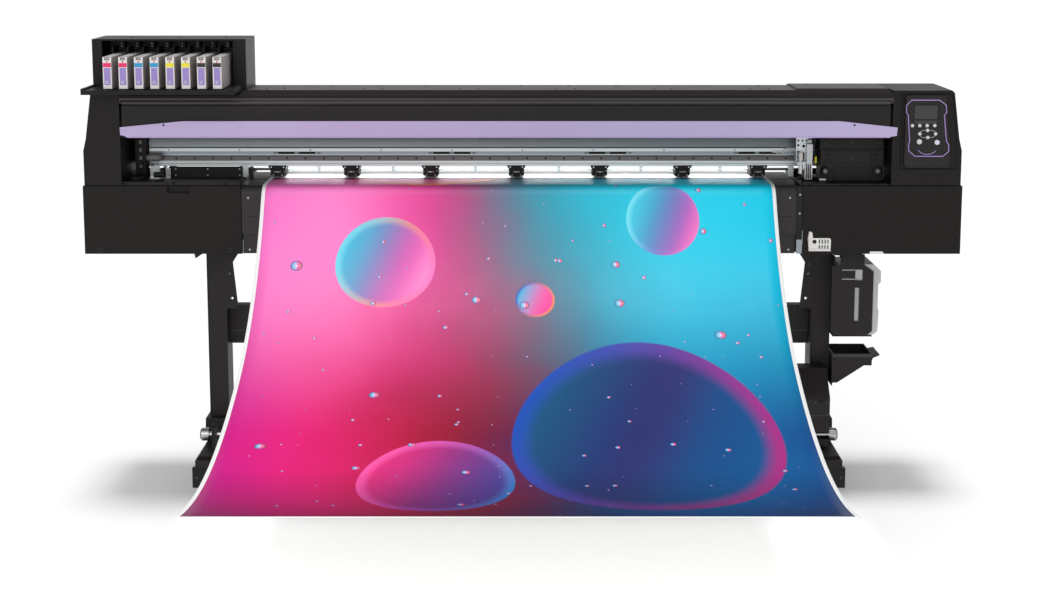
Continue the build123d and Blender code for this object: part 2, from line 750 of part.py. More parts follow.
# ---- ink ------------------------------------------------------------------------------------
shelf_front = -101.0
shelf_right = -888.0
with BuildPart() as ink_cabinet:
    block(cabinet_x, cabinet_depths, cabinet_z)
    block(cabinet_mouth_x, (cabinet_depths[0], 185), (cartridge_floor - 1, cabinet_mouth_top),
          mode=Mode.SUBTRACT)
    block((cabinet_x[0] + 5, cabinet_x[1] - 5), (190, cabinet_depths[1] - 5),
          (top_z, cabinet_z[1] - 5), mode=Mode.SUBTRACT)
    for number in range(cartridge_count + 1):
        x = cartridge_first - (cartridge_pitch - cartridge_size[0]) / 2 + number * cartridge_pitch
        block((x - 2.5, x + 2.5), (105, 185), (cartridge_floor - 1, 1450))
    block((cabinet_x[0], shelf_right), (shelf_front, cabinet_depths[0]), (top_z, cartridge_floor - 3))
    block((cabinet_x[0] + 14, shelf_right - 18), (shelf_front + 14, cabinet_depths[0]), (top_z, top_z + 8),
          mode=Mode.SUBTRACT)
    for end in ((cabinet_x[0], cabinet_x[0] + 9), (shelf_right - 18, shelf_right)):
        block(end, (shelf_front, cabinet_depths[0]), (cartridge_floor - 3, cartridge_floor + 2))
save(ink_cabinet, "ink_cabinet")

for number in range(cartridge_count):
    left = cartridge_first + number * cartridge_pitch
    body_x = (left, left + cartridge_size[0])
    body_z = (cartridge_floor, cartridge_floor + cartridge_size[2])
    with BuildPart() as ink_cartridge:
        block(body_x, (cartridge_front, cartridge_front + cartridge_size[1]), body_z)
        chamfer(ink_cartridge.faces().sort_by(Axis.Y)[0].edges(), 1.5)
        block((left + 7, left + 21), (cartridge_front, cartridge_front + 6),
              (body_z[1] - 9, body_z[1]), mode=Mode.SUBTRACT)
    save(ink_cartridge, f"ink_cartridge_{number + 1}")

# ---- waste tank -----------------------------------------------------------------------------
tank_wall_x = (posts[1] + post_width / 2, posts[1] + post_width / 2 + 3)
holder_depths = (115.0, 262.0)
plate_depths = (holder_depths[0] - 3, holder_depths[0])
plate_left = tank_wall_x[0] - 8
plate_right = 1140.0
level_window = (1080.0, 1095.0)
level_window_z = (557.0, 668.0)
full_window = (1080.0, 1105.0)
full_window_z = (692.0, 728.0)
tray_right = 1143.0
tray_top = 443.0
with BuildPart() as tank_holder:
    block(tank_wall_x, holder_depths, (505, saddle_bottom))
    front_plate(
        [
            (plate_left, 524),
            (plate_left + 14, 510),
            (plate_right - 16, 510),
            (plate_right, 524),
            (plate_right, 721),
            (plate_right - 16, 733),
            (plate_right - 30, 742),
            (plate_right - 30, 778),
            (plate_left + 26, 778),
            (plate_left + 32, 752),
            (plate_left + 20, 740),
            (plate_left, 740),
        ],
        plate_depths,
    )
    block((tank_wall_x[1], plate_right), (holder_depths[1] - 3, holder_depths[1]), (505, 640))
    block((tank_wall_x[1], plate_right), holder_depths, (505, 509))
    block((tank_wall_x[0], plate_right - 36), (holder_depths[0], holder_depths[0] + 60), (774, 778))
    block(level_window, plate_depths, level_window_z, mode=Mode.SUBTRACT)
    block(full_window, plate_depths, full_window_z, mode=Mode.SUBTRACT)
    block(tank_wall_x, holder_depths, (340, tray_top + 4))
    front_plate(
        [
            (tank_wall_x[0], 351),
            (1030, 351),
            (tray_right, 426),
            (tray_right + 3, 434),
            (tray_right + 25, tray_top),
            (tank_wall_x[0], tray_top),
        ],
        plate_depths,
    )
    block((tank_wall_x[1], tray_right), holder_depths, (408, tray_top + 4))
    block((tank_wall_x[1] + 3, tray_right - 3), (holder_depths[0] + 3, holder_depths[1] - 3),
          (411, tray_top + 4), mode=Mode.SUBTRACT)
    side_lip = [
        (tray_right - 1, tray_top - 6),
        (tray_right + 25, tray_top),
        (tray_right + 24, tray_top + 3),
        (tray_right - 2, tray_top - 3),
    ]
    front_plate(side_lip, (plate_depths[1], holder_depths[1] - 40))
save(tank_holder, "tank_holder")

with BuildPart() as waste_tank:
    front_plate(
        [
            (1024, 510.5),
            (1142, 510.5),
            (1158, 521),
            (1161, 588),
            (1157, 600),
            (1157, 678),
            (1165, 686),
            (1165, 722),
            (1141, 744),
            (1024, 744),
        ],
        (holder_depths[0] + 1, holder_depths[1] - 4),
    )
    upright_edges = waste_tank.edges().filter_by(Axis.Y)
    fillet(upright_edges, 4)
    pillar(1062, 190, (744, 758), 16)
save(waste_tank, "waste_tank")


# ---- take-up --------------------------------------------------------------------------------
takeup_half = 1033.0
with BuildPart() as takeup_shaft:
    rod((media_x - takeup_half, media_x + takeup_half), takeup_depth, takeup_z, takeup_radius)
    for end in (-1, 1):
        collar = sorted((media_x + end * takeup_half, media_x + end * (takeup_half - 24)))
        rod(collar, takeup_depth, takeup_z, 21)
save(takeup_shaft, "takeup_shaft")

drive_x = (896.0, 995.0)
drive_outline = [(30, 248), (174, 248), (174, 401), (112, 401), (30, 320)]
drive_inside = [(34, 252), (170, 252), (170, 397), (114, 397), (34, 318)]
cradle_x = (drive_x[0], 996.0)
cradle_depths = (takeup_depth + 1, 96.0)
cradle_mouth = 22.0
with BuildPart() as takeup_drive:
    side_plate(drive_outline, drive_x)
    side_plate(drive_inside, (drive_x[0] + 4, drive_x[1] - 4), mode=Mode.SUBTRACT)
    block(cradle_x, cradle_depths, (156, 250))
    block(cradle_x, (36, cradle_depths[0]), (156, takeup_z - cradle_mouth / 2))
    block(cradle_x, (40, cradle_depths[0]), (takeup_z + cradle_mouth / 2, 250))
    rod(cradle_x, takeup_depth, takeup_z, takeup_radius + fit, mode=Mode.SUBTRACT)
save(takeup_drive, "takeup_drive")


# ---- media ----------------------------------------------------------------------------------
roll_half = media_width / 2
with BuildPart() as supply_roll:
    rod((media_x - 905, media_x + 905), roll_depth, roll_z, roll_shaft_radius)
    rod((media_x - roll_half, media_x + roll_half), roll_depth, roll_z, roll_radius)
    for end in (-1, 1):
        flange = sorted((media_x + end * (roll_half + 2), media_x + end * (roll_half + 12)))
        rod(flange, roll_depth, roll_z, 82)
        cone = sorted((media_x + end * (roll_half + 12), media_x + end * (roll_half + 30)))
        rod(cone, roll_depth, roll_z, 26)
save(supply_roll, "supply_roll")

# The sheet's inner face runs from the roll over the rear guide, along the platen and out over
# the apron. The straight stretch behind the guide is tangent to the guide and to the roll.
inner_radius = guide_radius + sheet_clearance
guide_centre = (platen_depths[1], platen_top - guide_radius)
span = (roll_depth - guide_centre[0], roll_z - guide_centre[1])
run = math.hypot(*span)
normal = (-span[1] / run, span[0] / run)
leave_guide = (
    front_y + guide_centre[0] + normal[0] * inner_radius,
    guide_centre[1] + normal[1] * inner_radius,
)
reach_roll = (
    front_y + roll_depth + normal[0] * (roll_radius + gap),
    roll_z + normal[1] * (roll_radius + gap),
)
sheet_z = platen_top + sheet_clearance
crest_line = (front_y + 30, sheet_z)
crest_radius = 70.0
crest_turn = 57.0
sweep_out = ((-565.0, 553.0), (-1000.0, 437.0), (-1539.0, 448.0))

with BuildPart() as media_sheet:
    with BuildSketch(Plane.YZ.offset(media_x - media_width / 2)):
        with BuildLine():
            Line(reach_roll, leave_guide)
            RadiusArc(leave_guide, (front_y + guide_centre[0], sheet_z), -inner_radius)
            Line((front_y + guide_centre[0], sheet_z), crest_line)
            sweep = JernArc(crest_line, (-1, 0), crest_radius, crest_turn)
            for depth, z in sweep_out:
                sweep = TangentArc(sweep @ 1, (front_y + depth, z), tangent=sweep % 1)
            offset(amount=sheet_thickness, side=Side.RIGHT)
        make_face()
    extrude(amount=media_width)
save(media_sheet, "media_sheet")
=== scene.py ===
"""Looks of the printer cutter: materials, small parts, the printed sheet, studio and camera.

Lengths here are in millimetres until a piece is placed, and depths are measured back from the
front face of the body covers, as the machine itself is laid out.
"""

import math

import bmesh
import bpy
from mathutils import Matrix, Vector


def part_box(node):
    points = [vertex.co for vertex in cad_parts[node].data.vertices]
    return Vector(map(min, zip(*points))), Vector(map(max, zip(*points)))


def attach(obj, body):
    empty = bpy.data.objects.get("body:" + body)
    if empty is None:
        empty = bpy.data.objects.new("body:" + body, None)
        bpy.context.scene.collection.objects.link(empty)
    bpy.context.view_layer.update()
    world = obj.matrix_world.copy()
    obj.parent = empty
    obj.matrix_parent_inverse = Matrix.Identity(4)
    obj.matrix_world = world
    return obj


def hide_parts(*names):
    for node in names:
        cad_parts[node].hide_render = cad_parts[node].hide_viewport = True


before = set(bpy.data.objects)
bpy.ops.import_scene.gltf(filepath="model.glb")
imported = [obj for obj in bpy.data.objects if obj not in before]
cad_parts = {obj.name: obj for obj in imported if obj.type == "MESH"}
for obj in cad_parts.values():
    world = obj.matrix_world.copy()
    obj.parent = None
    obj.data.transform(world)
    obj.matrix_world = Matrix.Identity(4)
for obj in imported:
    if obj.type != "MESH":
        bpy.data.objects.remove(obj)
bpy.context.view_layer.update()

MM = 0.001
front_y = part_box("side_cover_left")[0][1]


def node_box(node):
    """A node's box in millimetres, its Y measured as depth behind the covers' front face."""
    low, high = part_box(node)
    shift = Vector((0, front_y, 0))
    return (Vector(low) - shift) / MM, (Vector(high) - shift) / MM



# ---- meshes -----------------------------------------------------------------------------------
def link_mesh(name, bm, *materials):
    """Makes a bmesh into an object of the scene, and frees it."""
    mesh = bpy.data.meshes.new(name)
    bm.to_mesh(mesh)
    bm.free()
    for material in materials:
        mesh.materials.append(material)
    made = bpy.data.objects.new(name, mesh)
    bpy.context.scene.collection.objects.link(made)
    return made


class Piece:
    """One mesh made of bevelled blocks, discs, plates and tubes, in millimetres."""

    def __init__(self):
        self.bm = bmesh.new()

    def _bevel(self, vertices, width):
        """Rounds the sharp edges that meet the vertices."""
        if width <= 0:
            return
        edges = dict.fromkeys(e for v in vertices for e in v.link_edges)
        sharp = [e for e in edges if e.calc_face_angle(0) > 0.6]
        bmesh.ops.bevel(self.bm, geom=sharp, offset=width, segments=2, affect="EDGES",
                        clamp_overlap=True)

    def block(self, x, depth, z, bevel=0.6):
        low = Vector((min(x), min(depth), min(z)))
        high = Vector((max(x), max(depth), max(z)))
        size = high - low
        place = Matrix.Translation((low + high) / 2) @ Matrix.Diagonal((*size, 1))
        made = bmesh.ops.create_cube(self.bm, size=1, matrix=place)
        self._bevel(made["verts"], min(bevel, min(size) * 0.3))
        return self

    def disc(self, x, depth, z, radius, length, axis="y", sides=32, top=None, bevel=0.5):
        """A round boss whose middle is at the point, along the axis; top is its far radius."""
        turns = {
            "x": Matrix.Rotation(math.radians(90), 4, "Y"),
            "y": Matrix.Rotation(math.radians(90), 4, "X"),
            "z": Matrix.Identity(4),
        }
        place = Matrix.Translation((x, depth, z)) @ turns[axis]
        made = bmesh.ops.create_cone(self.bm, cap_ends=True, segments=sides, radius1=radius,
                                     radius2=radius if top is None else top, depth=length,
                                     matrix=place)
        self._bevel(made["verts"], min(bevel, length * 0.3, radius * 0.3))
        return self

    def _extrude(self, corners, shift, bevel):
        vertices = [self.bm.verts.new(corner) for corner in corners]
        face = self.bm.faces.new(vertices)
        made = bmesh.ops.extrude_face_region(self.bm, geom=[face])
        moved = [v for v in made["geom"] if isinstance(v, bmesh.types.BMVert)]
        bmesh.ops.translate(self.bm, verts=moved, vec=shift)
        self._bevel(vertices + moved, bevel)
        return self

    def plate(self, outline, depth, bevel=0.5):
        """An (x, z) outline between two depths."""
        corners = [(x, depth[1], z) for x, z in outline]
        return self._extrude(corners, (0, depth[0] - depth[1], 0), bevel)

    def side(self, outline, x, bevel=0.5):
        """A (depth, z) outline between two X values."""
        return self._extrude([(x[0], depth, z) for depth, z in outline], (x[1] - x[0], 0, 0), bevel)

    def tube(self, points, radius, sides=10, closed=False):
        """A round bar that follows the points."""
        points = [Vector(p) for p in points]
        count = len(points)
        rings = []
        for number, point in enumerate(points):
            before = points[number - 1] if number or closed else point
            after = points[(number + 1) % count] if number < count - 1 or closed else point
            along = (after - before).normalized()
            across = along.cross(Vector((0.13, 0.97, 0.2))).normalized()
            up = along.cross(across)
            angles = [2 * math.pi * side / sides for side in range(sides)]
            rings.append([
                self.bm.verts.new(point + radius * (math.cos(a) * across + math.sin(a) * up))
                for a in angles
            ])
        pairs = list(zip(rings, rings[1:])) + ([(rings[-1], rings[0])] if closed else [])
        for one, other in pairs:
            for side in range(sides):
                following = (side + 1) % sides
                self.bm.faces.new((one[side], one[following], other[following], other[side]))
        if not closed:
            self.bm.faces.new(rings[0][::-1])
            self.bm.faces.new(rings[-1])
        return self

    def screw(self, x, depth, z, radius=3.0, axis="y"):
        """A pan head with a hexagonal socket, facing the front, the top or the right."""
        self.disc(x, depth, z, radius, 1.6, axis=axis, sides=20, bevel=0.6)
        lift = Vector({"x": (0.8, 0, 0), "y": (0, -0.8, 0), "z": (0, 0, 0.8)}[axis])
        self.disc(*(Vector((x, depth, z)) + lift), radius * 0.5, 0.5, axis=axis, sides=6, bevel=0)
        return self

    def place(self, name, finish, body="root"):
        """Makes the object, in one of the finishes of M, riding on a body."""
        bmesh.ops.recalc_face_normals(self.bm, faces=self.bm.faces[:])
        bmesh.ops.scale(self.bm, verts=self.bm.verts[:], vec=(MM, MM, MM))
        bmesh.ops.translate(self.bm, verts=self.bm.verts[:], vec=(0, front_y, 0))
        piece = link_mesh(name, self.bm, M[finish])
        for polygon in piece.data.polygons:
            polygon.use_smooth = True
        piece.data.set_sharp_from_angle(angle=math.radians(35))
        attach(piece, body)
        return piece


# ---- materials --------------------------------------------------------------------------------
def linear(red, green, blue):
    """Display values from 0 to 255, as the linear colour a shader takes."""
    def one(value):
        value /= 255
        return value / 12.92 if value <= 0.04045 else ((value + 0.055) / 1.055) ** 2.4
    return (one(red), one(green), one(blue), 1.0)


def scaled(colour, factor):
    return tuple(min(1.0, c * factor) for c in colour[:3]) + (1.0,)


class Nodes:
    """Short calls for a material's node tree."""

    def __init__(self, name):
        self.material = bpy.data.materials.new(name)
        self.material.use_nodes = True
        self.tree = self.material.node_tree
        self.shader = self.tree.nodes["Principled BSDF"]

    def add(self, kind, **values):
        node = self.tree.nodes.new(kind)
        for key, value in values.items():
            setattr(node, key, value)
        return node

    def set(self, socket, value):
        self.shader.inputs[socket].default_value = value

    def link(self, source, target):
        self.tree.links.new(source, target)

    def coordinates(self, stretch=(1, 1, 1)):
        place = self.add("ShaderNodeMapping")
        place.inputs["Scale"].default_value = stretch
        self.link(self.add("ShaderNodeTexCoord").outputs["Object"], place.inputs["Vector"])
        return place.outputs["Vector"]

    def noise(self, vector, scale, detail=3.0, roughness=0.5):
        node = self.add("ShaderNodeTexNoise")
        node.inputs["Scale"].default_value = scale
        node.inputs["Detail"].default_value = detail
        node.inputs["Roughness"].default_value = roughness
        self.link(vector, node.inputs["Vector"])
        return node.outputs["Fac"]

    def span(self, value, low, high):
        node = self.add("ShaderNodeMapRange")
        node.inputs["To Min"].default_value = low
        node.inputs["To Max"].default_value = high
        self.link(value, node.inputs["Value"])
        return node.outputs["Result"]

    def ramp(self, value, stops, interpolation="LINEAR"):
        node = self.add("ShaderNodeValToRGB")
        node.color_ramp.interpolation = interpolation
        elements = node.color_ramp.elements
        while len(elements) < len(stops):
            elements.new(0.5)
        for element, (place, *colour) in zip(elements, stops):
            element.position = place
            element.color = colour if len(colour) == 4 else linear(*colour)
        self.link(value, node.inputs["Fac"])
        return node.outputs["Color"]

    def mix(self, factor, one, other):
        node = self.add("ShaderNodeMix", data_type="RGBA")
        for socket, value in (("Factor", factor), ("A", one), ("B", other)):
            target = next(i for i in node.inputs if i.name == socket and i.enabled)
            if isinstance(value, bpy.types.NodeSocket):
                self.link(value, target)
            else:
                target.default_value = value
        return next(o for o in node.outputs if o.enabled)

    def math(self, operation, one, other=0.0, clamp=False):
        node = self.add("ShaderNodeMath", operation=operation, use_clamp=clamp)
        for socket, value in zip(node.inputs, (one, other)):
            if isinstance(value, bpy.types.NodeSocket):
                self.link(value, socket)
            else:
                socket.default_value = value
        return node.outputs["Value"]

    def bump(self, height, strength, distance=0.0004):
        node = self.add("ShaderNodeBump")
        node.inputs["Strength"].default_value = strength
        node.inputs["Distance"].default_value = distance
        self.link(height, node.inputs["Height"])
        self.link(node.outputs["Normal"], self.shader.inputs["Normal"])


def surface(name, colour, roughness, metallic=0.0, mottle=0.06, grain=0.25, grain_scale=1400,
            stretch=(1, 1, 1), spread=0.07, coat=0.0, specular=0.5):
    """A finish with slight mottling, uneven gloss and a fine grain, each from its own noise."""
    nodes = Nodes(name)
    vector = nodes.coordinates(stretch)
    cloudy = nodes.noise(vector, 2.2, detail=5.0)
    colours = [(0.3, *scaled(colour, 1 - mottle)), (0.7, *scaled(colour, 1 + mottle))]
    nodes.link(nodes.ramp(cloudy, colours), nodes.shader.inputs["Base Color"])
    patches = nodes.noise(vector, 9.0, detail=6.0, roughness=0.6)
    rough = nodes.span(patches, max(0.02, roughness - spread), roughness + spread)
    nodes.link(rough, nodes.shader.inputs["Roughness"])
    nodes.set("Metallic", metallic)
    nodes.set("Coat Weight", coat)
    nodes.set("Specular IOR Level", specular)
    if grain:
        nodes.bump(nodes.noise(vector, grain_scale, detail=2.0), grain)
    return nodes.material


# finish: display colour, roughness and what differs from an ordinary moulding
FINISHES = {
    "cover": ((22, 19, 17), 0.42, dict(grain=0.35, spread=0.08, specular=0.2)),
    "door": ((23, 19, 17), 0.45, dict(grain=0.35, spread=0.08, specular=0.18)),
    "front": ((30, 27, 28), 0.4, dict(grain=0.3, specular=0.2)),
    "brow": ((44, 41, 42), 0.8, dict(grain=0.2, specular=0.0)),
    "top": ((66, 62, 61), 0.5, dict(grain=0.4, specular=0.4)),
    # A lighter copy of the dark cover plastic: a painted highlight for the light caught along the
    # front cover's fold.
    "crease_highlight": ((62, 59, 60), 0.42, dict(grain=0.3, specular=0.3)),
    "violet": ((182, 168, 207), 0.42, dict(mottle=0.03, grain=0.15, coat=0.1)),
    "violet_line": ((168, 140, 205), 0.4, dict(mottle=0.03, grain=0.1)),
    "powder": ((36, 32, 32), 0.5, dict(mottle=0.08, grain=0.6, grain_scale=900, specular=0.2)),
    "foot": ((31, 28, 26), 0.5, dict(mottle=0.08, grain=0.6, grain_scale=900, specular=0.2)),
    "chassis": ((58, 57, 58), 0.5, dict(metallic=0.3, grain=0.4)),
    "bar": ((140, 148, 153), 0.34, dict(metallic=0.75, mottle=0.03, grain=0.5, grain_scale=500,
        stretch=(0.02, 1, 1))),
    "bar_bright": ((202, 208, 210), 0.32, dict(metallic=0.7, mottle=0.02, grain=0.4,
        grain_scale=500, stretch=(0.02, 1, 1))),
    "rail": ((92, 90, 91), 0.28, dict(metallic=0.8, mottle=0.04, grain=0.4, grain_scale=700,
        stretch=(0.03, 1, 1))),
    "steel": ((188, 186, 184), 0.25, dict(metallic=1.0, mottle=0.04, grain=0.4, grain_scale=700,
        stretch=(0.05, 1, 1))),
    "zinc": ((176, 178, 180), 0.38, dict(metallic=0.9, mottle=0.1, grain=0.3)),
    "platen": ((96, 93, 95), 0.45, dict(metallic=0.4, mottle=0.04, grain=0.4)),
    "apron": ((46, 42, 43), 0.42, dict(mottle=0.05, grain=0.35, specular=0.25)),
    "black": ((26, 23, 23), 0.5, dict(mottle=0.1, grain=0.4, specular=0.25)),
    "pit": ((9, 9, 9), 0.7, dict(mottle=0.1, grain=0.2, specular=0.1)),
    "rubber": ((24, 24, 24), 0.75, dict(mottle=0.12, grain=0.6, grain_scale=600, specular=0.3)),
    "panel": ((30, 27, 27), 0.38, dict(grain=0.25, coat=0.05, specular=0.25)),
    "glass": ((16, 16, 18), 0.12, dict(mottle=0.03, grain=0.0, spread=0.02, coat=0.5)),
    "grey": ((122, 120, 120), 0.5, dict(grain=0.3)),
    "key": ((206, 203, 206), 0.42, dict(mottle=0.03, grain=0.15)),
    "key_lilac": ((214, 206, 226), 0.4, dict(mottle=0.03, grain=0.15)),
    "white": ((226, 224, 222), 0.42, dict(mottle=0.02, grain=0.2)),
    "carton": ((168, 164, 162), 0.55, dict(mottle=0.05, grain=0.3)),
    "lilac": ((150, 132, 196), 0.45, dict(mottle=0.05, grain=0.1)),
    "magenta": ((226, 30, 98), 0.4, dict(mottle=0.03, grain=0.1)),
    "cyan": ((28, 148, 200), 0.4, dict(mottle=0.03, grain=0.1)),
    "yellow": ((232, 220, 40), 0.4, dict(mottle=0.03, grain=0.1)),
    "ink_black": ((24, 22, 26), 0.4, dict(mottle=0.03, grain=0.1)),
    "red": ((196, 30, 40), 0.4, dict(mottle=0.03, grain=0.1)),
    "lamp": ((190, 196, 200), 0.3, dict(mottle=0.02, grain=0.0, spread=0.02)),
    "vinyl": ((238, 238, 238), 0.32, dict(mottle=0.01, grain=0.1)),
    "liner": ((214, 212, 206), 0.6, dict(mottle=0.03, grain=0.3)),
    "copper": ((176, 112, 66), 0.35, dict(metallic=0.8, mottle=0.08, grain=0.2)),
}
M = {name: surface(name, linear(*colour), roughness, **rest)
     for name, (colour, roughness, rest) in FINISHES.items()}


def tank_material():
    """Translucent white blow moulding, its tone varying at random in cloudy patches."""
    nodes = Nodes("tank")
    vector = nodes.coordinates()
    cloudy = nodes.noise(vector, 6.0, detail=5.0)
    stops = [(0.25, 160, 158, 160), (0.75, 196, 194, 195)]
    nodes.link(nodes.ramp(cloudy, stops), nodes.shader.inputs["Base Color"])
    nodes.set("Subsurface Weight", 0.35)
    nodes.set("Subsurface Radius", (0.02, 0.02, 0.02))
    nodes.set("Subsurface Scale", 0.3)
    nodes.link(nodes.span(cloudy, 0.3, 0.42), nodes.shader.inputs["Roughness"])
    nodes.bump(nodes.noise(vector, 400), 0.25)
    return nodes.material


def print_material():
    """The demonstration print: a colour field with soft discs and droplets, and a white border."""
    nodes = Nodes("print")
    split = nodes.add("ShaderNodeSeparateXYZ")
    nodes.link(nodes.add("ShaderNodeUVMap", uv_map="flat").outputs["UV"], split.inputs["Vector"])
    across, along = split.outputs["X"], split.outputs["Y"]
    join = nodes.add("ShaderNodeCombineXYZ")
    nodes.link(across, join.inputs["X"])
    nodes.link(along, join.inputs["Y"])
    sway = nodes.math("MULTIPLY", nodes.math("SUBTRACT", nodes.noise(join.outputs[0], 1.3), 0.5),
                      0.30)
    place = nodes.math("ADD", nodes.math("DIVIDE", across, sheet_width * MM), sway)
    top = nodes.ramp(place, [
        (0.00, 236, 110, 190), (0.14, 250, 140, 205), (0.28, 236, 50, 150),
        (0.42, 150, 80, 120), (0.52, 60, 130, 150), (0.66, 40, 180, 205),
        (0.82, 30, 206, 232), (1.00, 10, 188, 220),
    ], "B_SPLINE")
    low = nodes.ramp(place, [
        (0.00, 190, 18, 134), (0.14, 232, 20, 116), (0.30, 176, 8, 48),
        (0.46, 116, 8, 36), (0.60, 30, 36, 96), (0.80, 0, 102, 162),
        (1.00, 0, 66, 130),
    ], "B_SPLINE")
    height = nodes.math("DIVIDE", along, print_length * MM)
    field = nodes.mix(nodes.ramp(height, [(0.32, 0, 0, 0, 1), (0.86, 1, 1, 1, 1)], "EASE"), low,
                      top)
    # Painted shade: the print is darkened over its top few per cent, where the sheet turns over the
    # crest; it is also darker towards the free end.
    painted_shade = nodes.ramp(height, [(0.0, 136, 96, 140), (0.24, 250, 250, 250),
                                (0.962, 255, 255, 255), (0.99, 120, 96, 120),
                                (1.0, 60, 44, 60)])
    darken = nodes.add("ShaderNodeMix", data_type="RGBA", blend_type="MULTIPLY")
    darken.inputs["Factor"].default_value = 1.0

    def spot(centre, radii):
        """Distance from a centre, 1 on the rim; and how far right the point lies, 0 to 1."""
        dx = nodes.math("DIVIDE", nodes.math("SUBTRACT", across, centre[0]), radii[0])
        dy = nodes.math("DIVIDE", nodes.math("SUBTRACT", along, centre[1]), radii[1])
        square = nodes.math("ADD", nodes.math("MULTIPLY", dx, dx), nodes.math("MULTIPLY", dy, dy))
        turned = nodes.math("ADD", nodes.math("MULTIPLY", dx, 0.42),
                            nodes.math("MULTIPLY", dy, -0.16))
        return nodes.math("SQRT", square), nodes.math("ADD", turned, 0.5, clamp=True), dy

    def disc(under, centre, radii, fill, rim):
        distance, right, dy = spot(centre, radii)
        inside = nodes.ramp(distance, [(0.985, 1, 1, 1, 1), (1.0, 0, 0, 0, 1)])
        edge = nodes.ramp(distance, [(0.80, 0, 0, 0, 1), (0.96, 0.85, 0.85, 0.85, 1)], "EASE")
        body = nodes.mix(edge, nodes.ramp(right, fill, "B_SPLINE"),
                         nodes.ramp(right, rim, "B_SPLINE"))
        return nodes.mix(inside, under, body)

    colour = field
    top_edge = print_length * MM
    # centre, radii, then the stops of the fill and of the rim
    for centre, radii, fill, rim in (
        ((0.50, top_edge + 0.16), (0.30, 0.33),
         [(0.2, 240, 110, 190), (0.8, 246, 120, 150)],
         [(0.3, 236, 50, 130), (0.8, 240, 150, 50)]),
        ((1.16, 0.62), (0.37, 0.52),
         [(0.10, 0, 86, 124), (0.34, 22, 42, 108), (0.52, 44, 34, 100), (0.66, 0, 66, 126),
          (0.90, 0, 80, 140)],
         [(0.15, 14, 74, 180), (0.5, 92, 56, 150), (0.85, 176, 20, 120)]),
        ((0.60, 0.36), (0.205, 0.27),
         [(0.15, 226, 40, 120), (0.5, 120, 44, 120), (0.9, 40, 66, 150)],
         [(0.2, 246, 90, 170), (0.6, 150, 70, 170), (0.9, 20, 130, 200)]),
        ((1.26, top_edge - 0.30), (0.115, 0.13),
         [(0.15, 70, 200, 222), (0.42, 60, 140, 190), (0.72, 150, 90, 180), (0.9, 238, 110, 190)],
         [(0.2, 120, 224, 238), (0.55, 60, 80, 190), (0.9, 238, 120, 190)]),
        ((0.40, top_edge - 0.46), (0.155, 0.17),
         [(0.15, 60, 184, 214), (0.42, 110, 120, 180), (0.7, 230, 70, 170), (0.9, 244, 140, 200)],
         [(0.2, 110, 214, 232), (0.55, 238, 130, 80), (0.9, 240, 110, 190)]),
        ((0.86, top_edge - 0.60), (0.060, 0.07),
         [(0.2, 40, 170, 214), (0.6, 240, 60, 150)],
         [(0.2, 20, 60, 170), (0.8, 236, 140, 60)]),
    ):
        colour = disc(colour, centre, radii, fill, rim)
    for density, smallest, largest, share in ((7.0, 0.02, 0.14, 0.3), (15.0, 0.03, 0.13, 0.13)):
        drops = nodes.add("ShaderNodeTexVoronoi", feature="F1", voronoi_dimensions="2D")
        drops.inputs["Scale"].default_value = density
        drops.inputs["Randomness"].default_value = 0.9
        nodes.link(join.outputs[0], drops.inputs["Vector"])
        pick = nodes.add("ShaderNodeSeparateXYZ")
        nodes.link(drops.outputs["Color"], pick.inputs["Vector"])
        middle = nodes.add("ShaderNodeSeparateXYZ")
        nodes.link(drops.outputs["Position"], middle.inputs["Vector"])
        size = nodes.span(nodes.math("POWER", pick.outputs["X"], 2.4), smallest, largest)
        ratio = nodes.math("DIVIDE", drops.outputs["Distance"], size)
        offset = nodes.math("MULTIPLY", nodes.math("SUBTRACT", across, middle.outputs["X"]),
                            density / 2)
        lean = nodes.math("ADD", nodes.math("DIVIDE", offset, size), 0.5, clamp=True)
        drop = nodes.ramp(lean, [(0.1, 60, 190, 226), (0.42, 150, 190, 230),
                                 (0.62, 236, 90, 170), (0.9, 240, 140, 96)])
        rim = nodes.ramp(ratio, [(0.62, 0, 0, 0, 1), (0.9, 0.85, 0.85, 0.85, 1)], "EASE")
        drop = nodes.mix(rim, drop, linear(44, 30, 110))
        shine = nodes.ramp(ratio, [(0.1, 0.8, 0.8, 0.8, 1), (0.32, 0, 0, 0, 1)], "EASE")
        drop = nodes.mix(shine, drop, linear(244, 236, 250))
        rare = nodes.math("LESS_THAN", pick.outputs["Y"], share)
        shown = nodes.ramp(ratio, [(0.93, 0.9, 0.9, 0.9, 1), (1.0, 0, 0, 0, 1)])
        colour = nodes.mix(nodes.math("MULTIPLY", shown, rare), colour, drop)

    nodes.link(colour, next(i for i in darken.inputs if i.name == "A" and i.enabled))
    nodes.link(painted_shade, next(i for i in darken.inputs if i.name == "B" and i.enabled))
    shaded = next(o for o in darken.outputs if o.enabled)

    border = 11 * MM
    near_left = nodes.math("LESS_THAN", across, border)
    near_right = nodes.math("GREATER_THAN", across, sheet_width * MM - border)
    near_end = nodes.math("LESS_THAN", along, border)
    unprinted = nodes.math("GREATER_THAN", along, print_length * MM)
    blank = nodes.math("ADD", nodes.math("ADD", near_left, near_right),
                       nodes.math("ADD", near_end, unprinted), clamp=True)
    nodes.link(nodes.mix(blank, shaded, linear(246, 246, 246)), nodes.shader.inputs["Base Color"])
    vector = nodes.coordinates()
    nodes.link(nodes.span(nodes.noise(vector, 12.0), 0.42, 0.52), nodes.shader.inputs["Roughness"])
    nodes.set("Specular IOR Level", 0.18)
    nodes.bump(nodes.noise(vector, 60, detail=1.0), 0.03)
    return nodes.material


